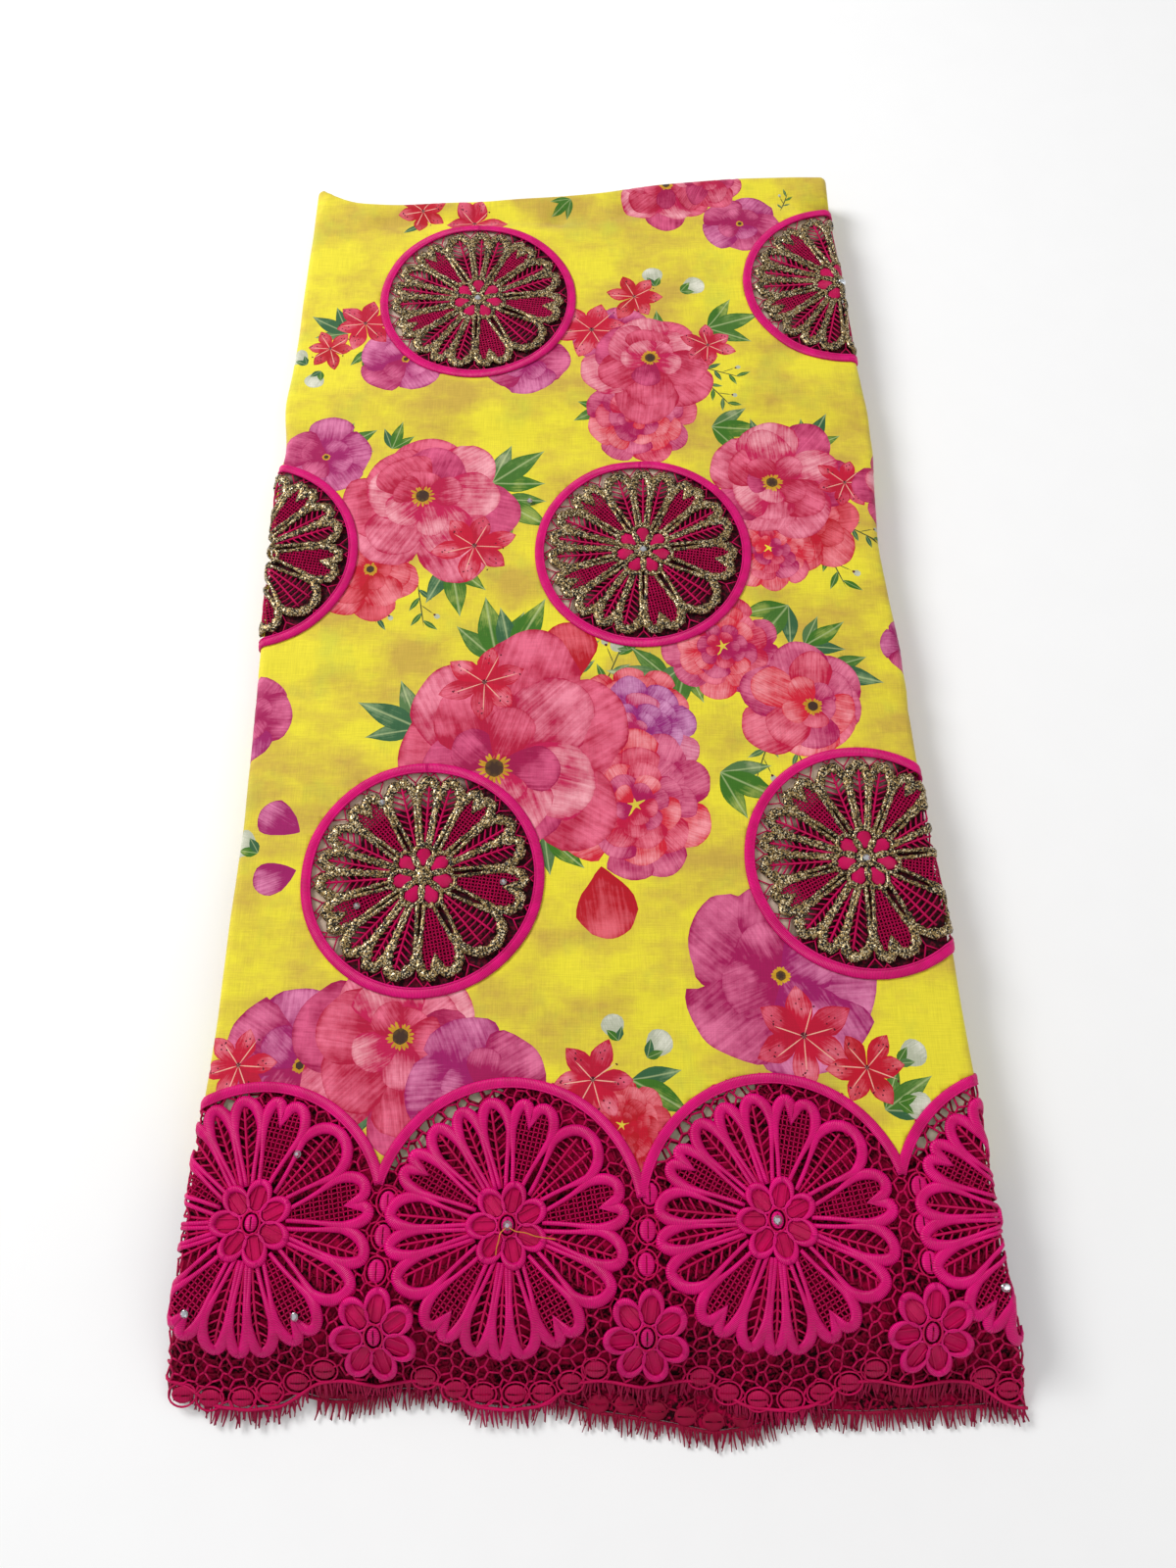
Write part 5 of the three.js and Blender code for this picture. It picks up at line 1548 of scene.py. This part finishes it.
def build_fringe(name, line, low_x, high_x, count, lift, material, node, seed):
    """Eyelash threads: each tapers from the hem, leans and bends by its own amount, down to the floor."""
    random = np.random.default_rng(seed)
    fringe = Stitched()
    xs = np.linspace(low_x, high_x, count) + random.uniform(-0.4, 0.4, count)
    for x in xs:
        long = random.uniform(3.6, 7.8)
        lean = random.uniform(-0.30, 0.30)
        share = np.linspace(0, 1, 5)
        bend = random.uniform(-1.0, 1.0) * share ** 2
        flat = np.stack([x + lean * long * share + bend, line(np.array([x])) + 0.4 - long * share], 1)
        width = (0.62 - 0.34 * share) * random.uniform(0.8, 1.3)
        sweep(fringe, flat, width, 0.8 * width, lift + 0.2 * random.uniform(-1, 1), 0, 4)
    return fringe.make(name, [material], [node])


# Name, hem, x range, threads, lift, finish, node and the seed of its uneven threads
FRINGES = (
    ("fringe_threads_top", hem_line, -168, 174, 430, 0.3, FRINGE, "fringe_top", 21),
    ("fringe_threads_under", under_hem_line, -108, 172, 330, -1.0, SHADED, "fringe_under", 22),
)


# Crystals and the loose thread

CRYSTALS = (
    (-61.7, 545.8, 1.5), (27.9, 382.3, 1.5), (126, 219.2, 1.5), (142.5, 557.8, 1.5),
    (-95, 246, 1.2), (-38, 208, 1.2), (-103, 197, 1.2), (-119, 92.5, 1.2), (-158, 34, 1.2),
    (-115, 33, 1.2), (-32.3, 65.6, 1.5), (76.2, 67.5, 1.5), (164, 43, 1.2), (-30, 412, 1.1),
)
GEM_SIDES = 8
# Rings of a stone: share of its radius and lift
GEM_PROFILE = ((1.0, 2.2), (1.0, 2.7), (0.55, 3.4))
GEM_TOP, GEM_BASE = 3.4, 1.9
LOOSE_THREADS = (
    ((-31.5, 64.8), (-29, 63.4), (-25, 63.0), (-21, 61.6), (-17, 61.0), (-13, 60.4)),
    ((-33, 64.6), (-35, 62.8), (-35.5, 60), (-36.4, 57), (-36.6, 54.5)),
)


def build_crystals():
    """Cut stones: eight-sided, straight at the girdle and drawn in to a flat top, each in a steel ring."""
    gems = Stitched()
    i = np.arange(GEM_SIDES)
    j = (i + 1) % GEM_SIDES
    rings = len(GEM_PROFILE)
    walls = grid_faces(rings, GEM_SIDES, closed=True)[:, ::-1]
    last, top, low = (rings - 1) * GEM_SIDES, rings * GEM_SIDES, rings * GEM_SIDES + 1
    table = np.stack([j + last, i + last, np.full(GEM_SIDES, top)], 1)
    base = np.stack([i, j, np.full(GEM_SIDES, low)], 1)
    for x, y, radius in CRYSTALS:
        flat = [clock((x, y), i * 360 / GEM_SIDES, radius * share) for share, _ in GEM_PROFILE]
        flat = np.concatenate(flat + [[(x, y), (x, y)]])
        lifts = np.repeat([lift for _, lift in GEM_PROFILE], GEM_SIDES)
        points, _ = fold_over(flat, np.append(lifts, (GEM_TOP, GEM_BASE)))
        gems.add(points, 0, points[:, :2], walls, table, base)
        sweep(gems, circle((x, y), 1.05 * radius, 16), 0.3, 0.5, 2.1, 1, 6, closed=True)
    return gems.make("crystals", [CRYSTAL, SETTING], [], smooth=False)


def build_loose_threads():
    """Two ends of metallic thread that rise and sink by a sine, and a small dark cup."""
    loose = Stitched()
    for points in LOOSE_THREADS:
        fine, at = refined(np.array(points, float), 24)
        fine[1:-1] = (fine[:-2] + fine[1:-1] + fine[2:]) / 3
        sweep(loose, fine, 0.22, 0.22, 3.0 + 0.8 * np.sin(at), 0, 5)
    dome(loose, BLOSSOMS["border_blossom_2"], 0, 2.3, 2.3, 0.5, 2.4, 1)
    return loose.make("loose_gold_thread", [GOLD_THREAD, CUP], [])


# Floor, light and camera

CAMERA_PLAN = (0.0, 82.94, 489.73)
CAMERA_TILT = 20.3
CAMERA_LENS = 24.525
SENSOR = 36
FLOOR_REACH = 6.0
# Soft boxes: name, place, size in metres, and watts
LIGHTS = (
    ("key", (-1.2, 0.75, 1.15), 0.7, 25),
    ("fill", (1.2, -0.3, 1.6), 1.4, 7),
)


def build_camera():
    """The photo's view, down at the cloth from its near side."""
    camera = bpy.data.objects.new("camera", bpy.data.cameras.new("camera"))
    camera.data.lens = CAMERA_LENS
    camera.data.sensor_width = SENSOR
    camera.data.clip_start = 0.01
    camera.location = to_metres(np.array(CAMERA_PLAN))
    camera.rotation_euler = (math.radians(CAMERA_TILT), 0, 0)
    bpy.context.scene.collection.objects.link(camera)
    bpy.context.scene.camera = camera


def build_floor():
    """A pale paper floor."""
    corners = [(x * FLOOR_REACH, y * FLOOR_REACH, 0) for x, y in ((-1, -1), (1, -1), (1, 1), (-1, 1))]
    mesh = bpy.data.meshes.new("floor")
    mesh.from_pydata(corners, [], [(0, 1, 2, 3)])
    n = Nodes("floor_paper")
    paper = n.mix(n.noise(n.object_place(), 40, 2), (0.93, 0.93, 0.93), (0.95, 0.95, 0.95))
    mesh.materials.append(n.set(Base_Color=paper, Roughness=0.9))
    floor = bpy.data.objects.new("floor", mesh)
    bpy.context.scene.collection.objects.link(floor)


def build_light():
    """A white sky and two soft boxes turned to the cloth."""
    world = bpy.data.worlds.new("studio")
    world.use_nodes = True
    sky = world.node_tree.nodes["Background"]
    sky.inputs["Color"].default_value = (1, 1, 1, 1)
    sky.inputs["Strength"].default_value = 0.5
    bpy.context.scene.world = world
    bpy.context.scene.view_settings.view_transform = "Standard"
    for name, place_at, size, power in LIGHTS:
        light = bpy.data.objects.new(name, bpy.data.lights.new(name, "AREA"))
        light.data.size = size
        light.data.energy = power
        light.location = place_at
        aim = np.array(place_at)
        light.rotation_euler = (math.acos(aim[2] / np.linalg.norm(aim)), 0,
                                math.atan2(aim[1], aim[0]) + math.pi / 2)
        bpy.context.scene.collection.objects.link(light)


build_camera()
build_floor()
build_light()
pile = build_pile()
cloth = build_cloth()
trim = [piece for name, centre in MEDALLIONS.items() for piece in build_medallion(name, centre)]
trim += [build_border(), build_band(), build_under_border()]
trim += [build_blossom(name, centre) for name, centre in BLOSSOMS.items()]
trim += [build_fringe(*row) for row in FRINGES]
trim += [build_crystals(), build_loose_threads()]
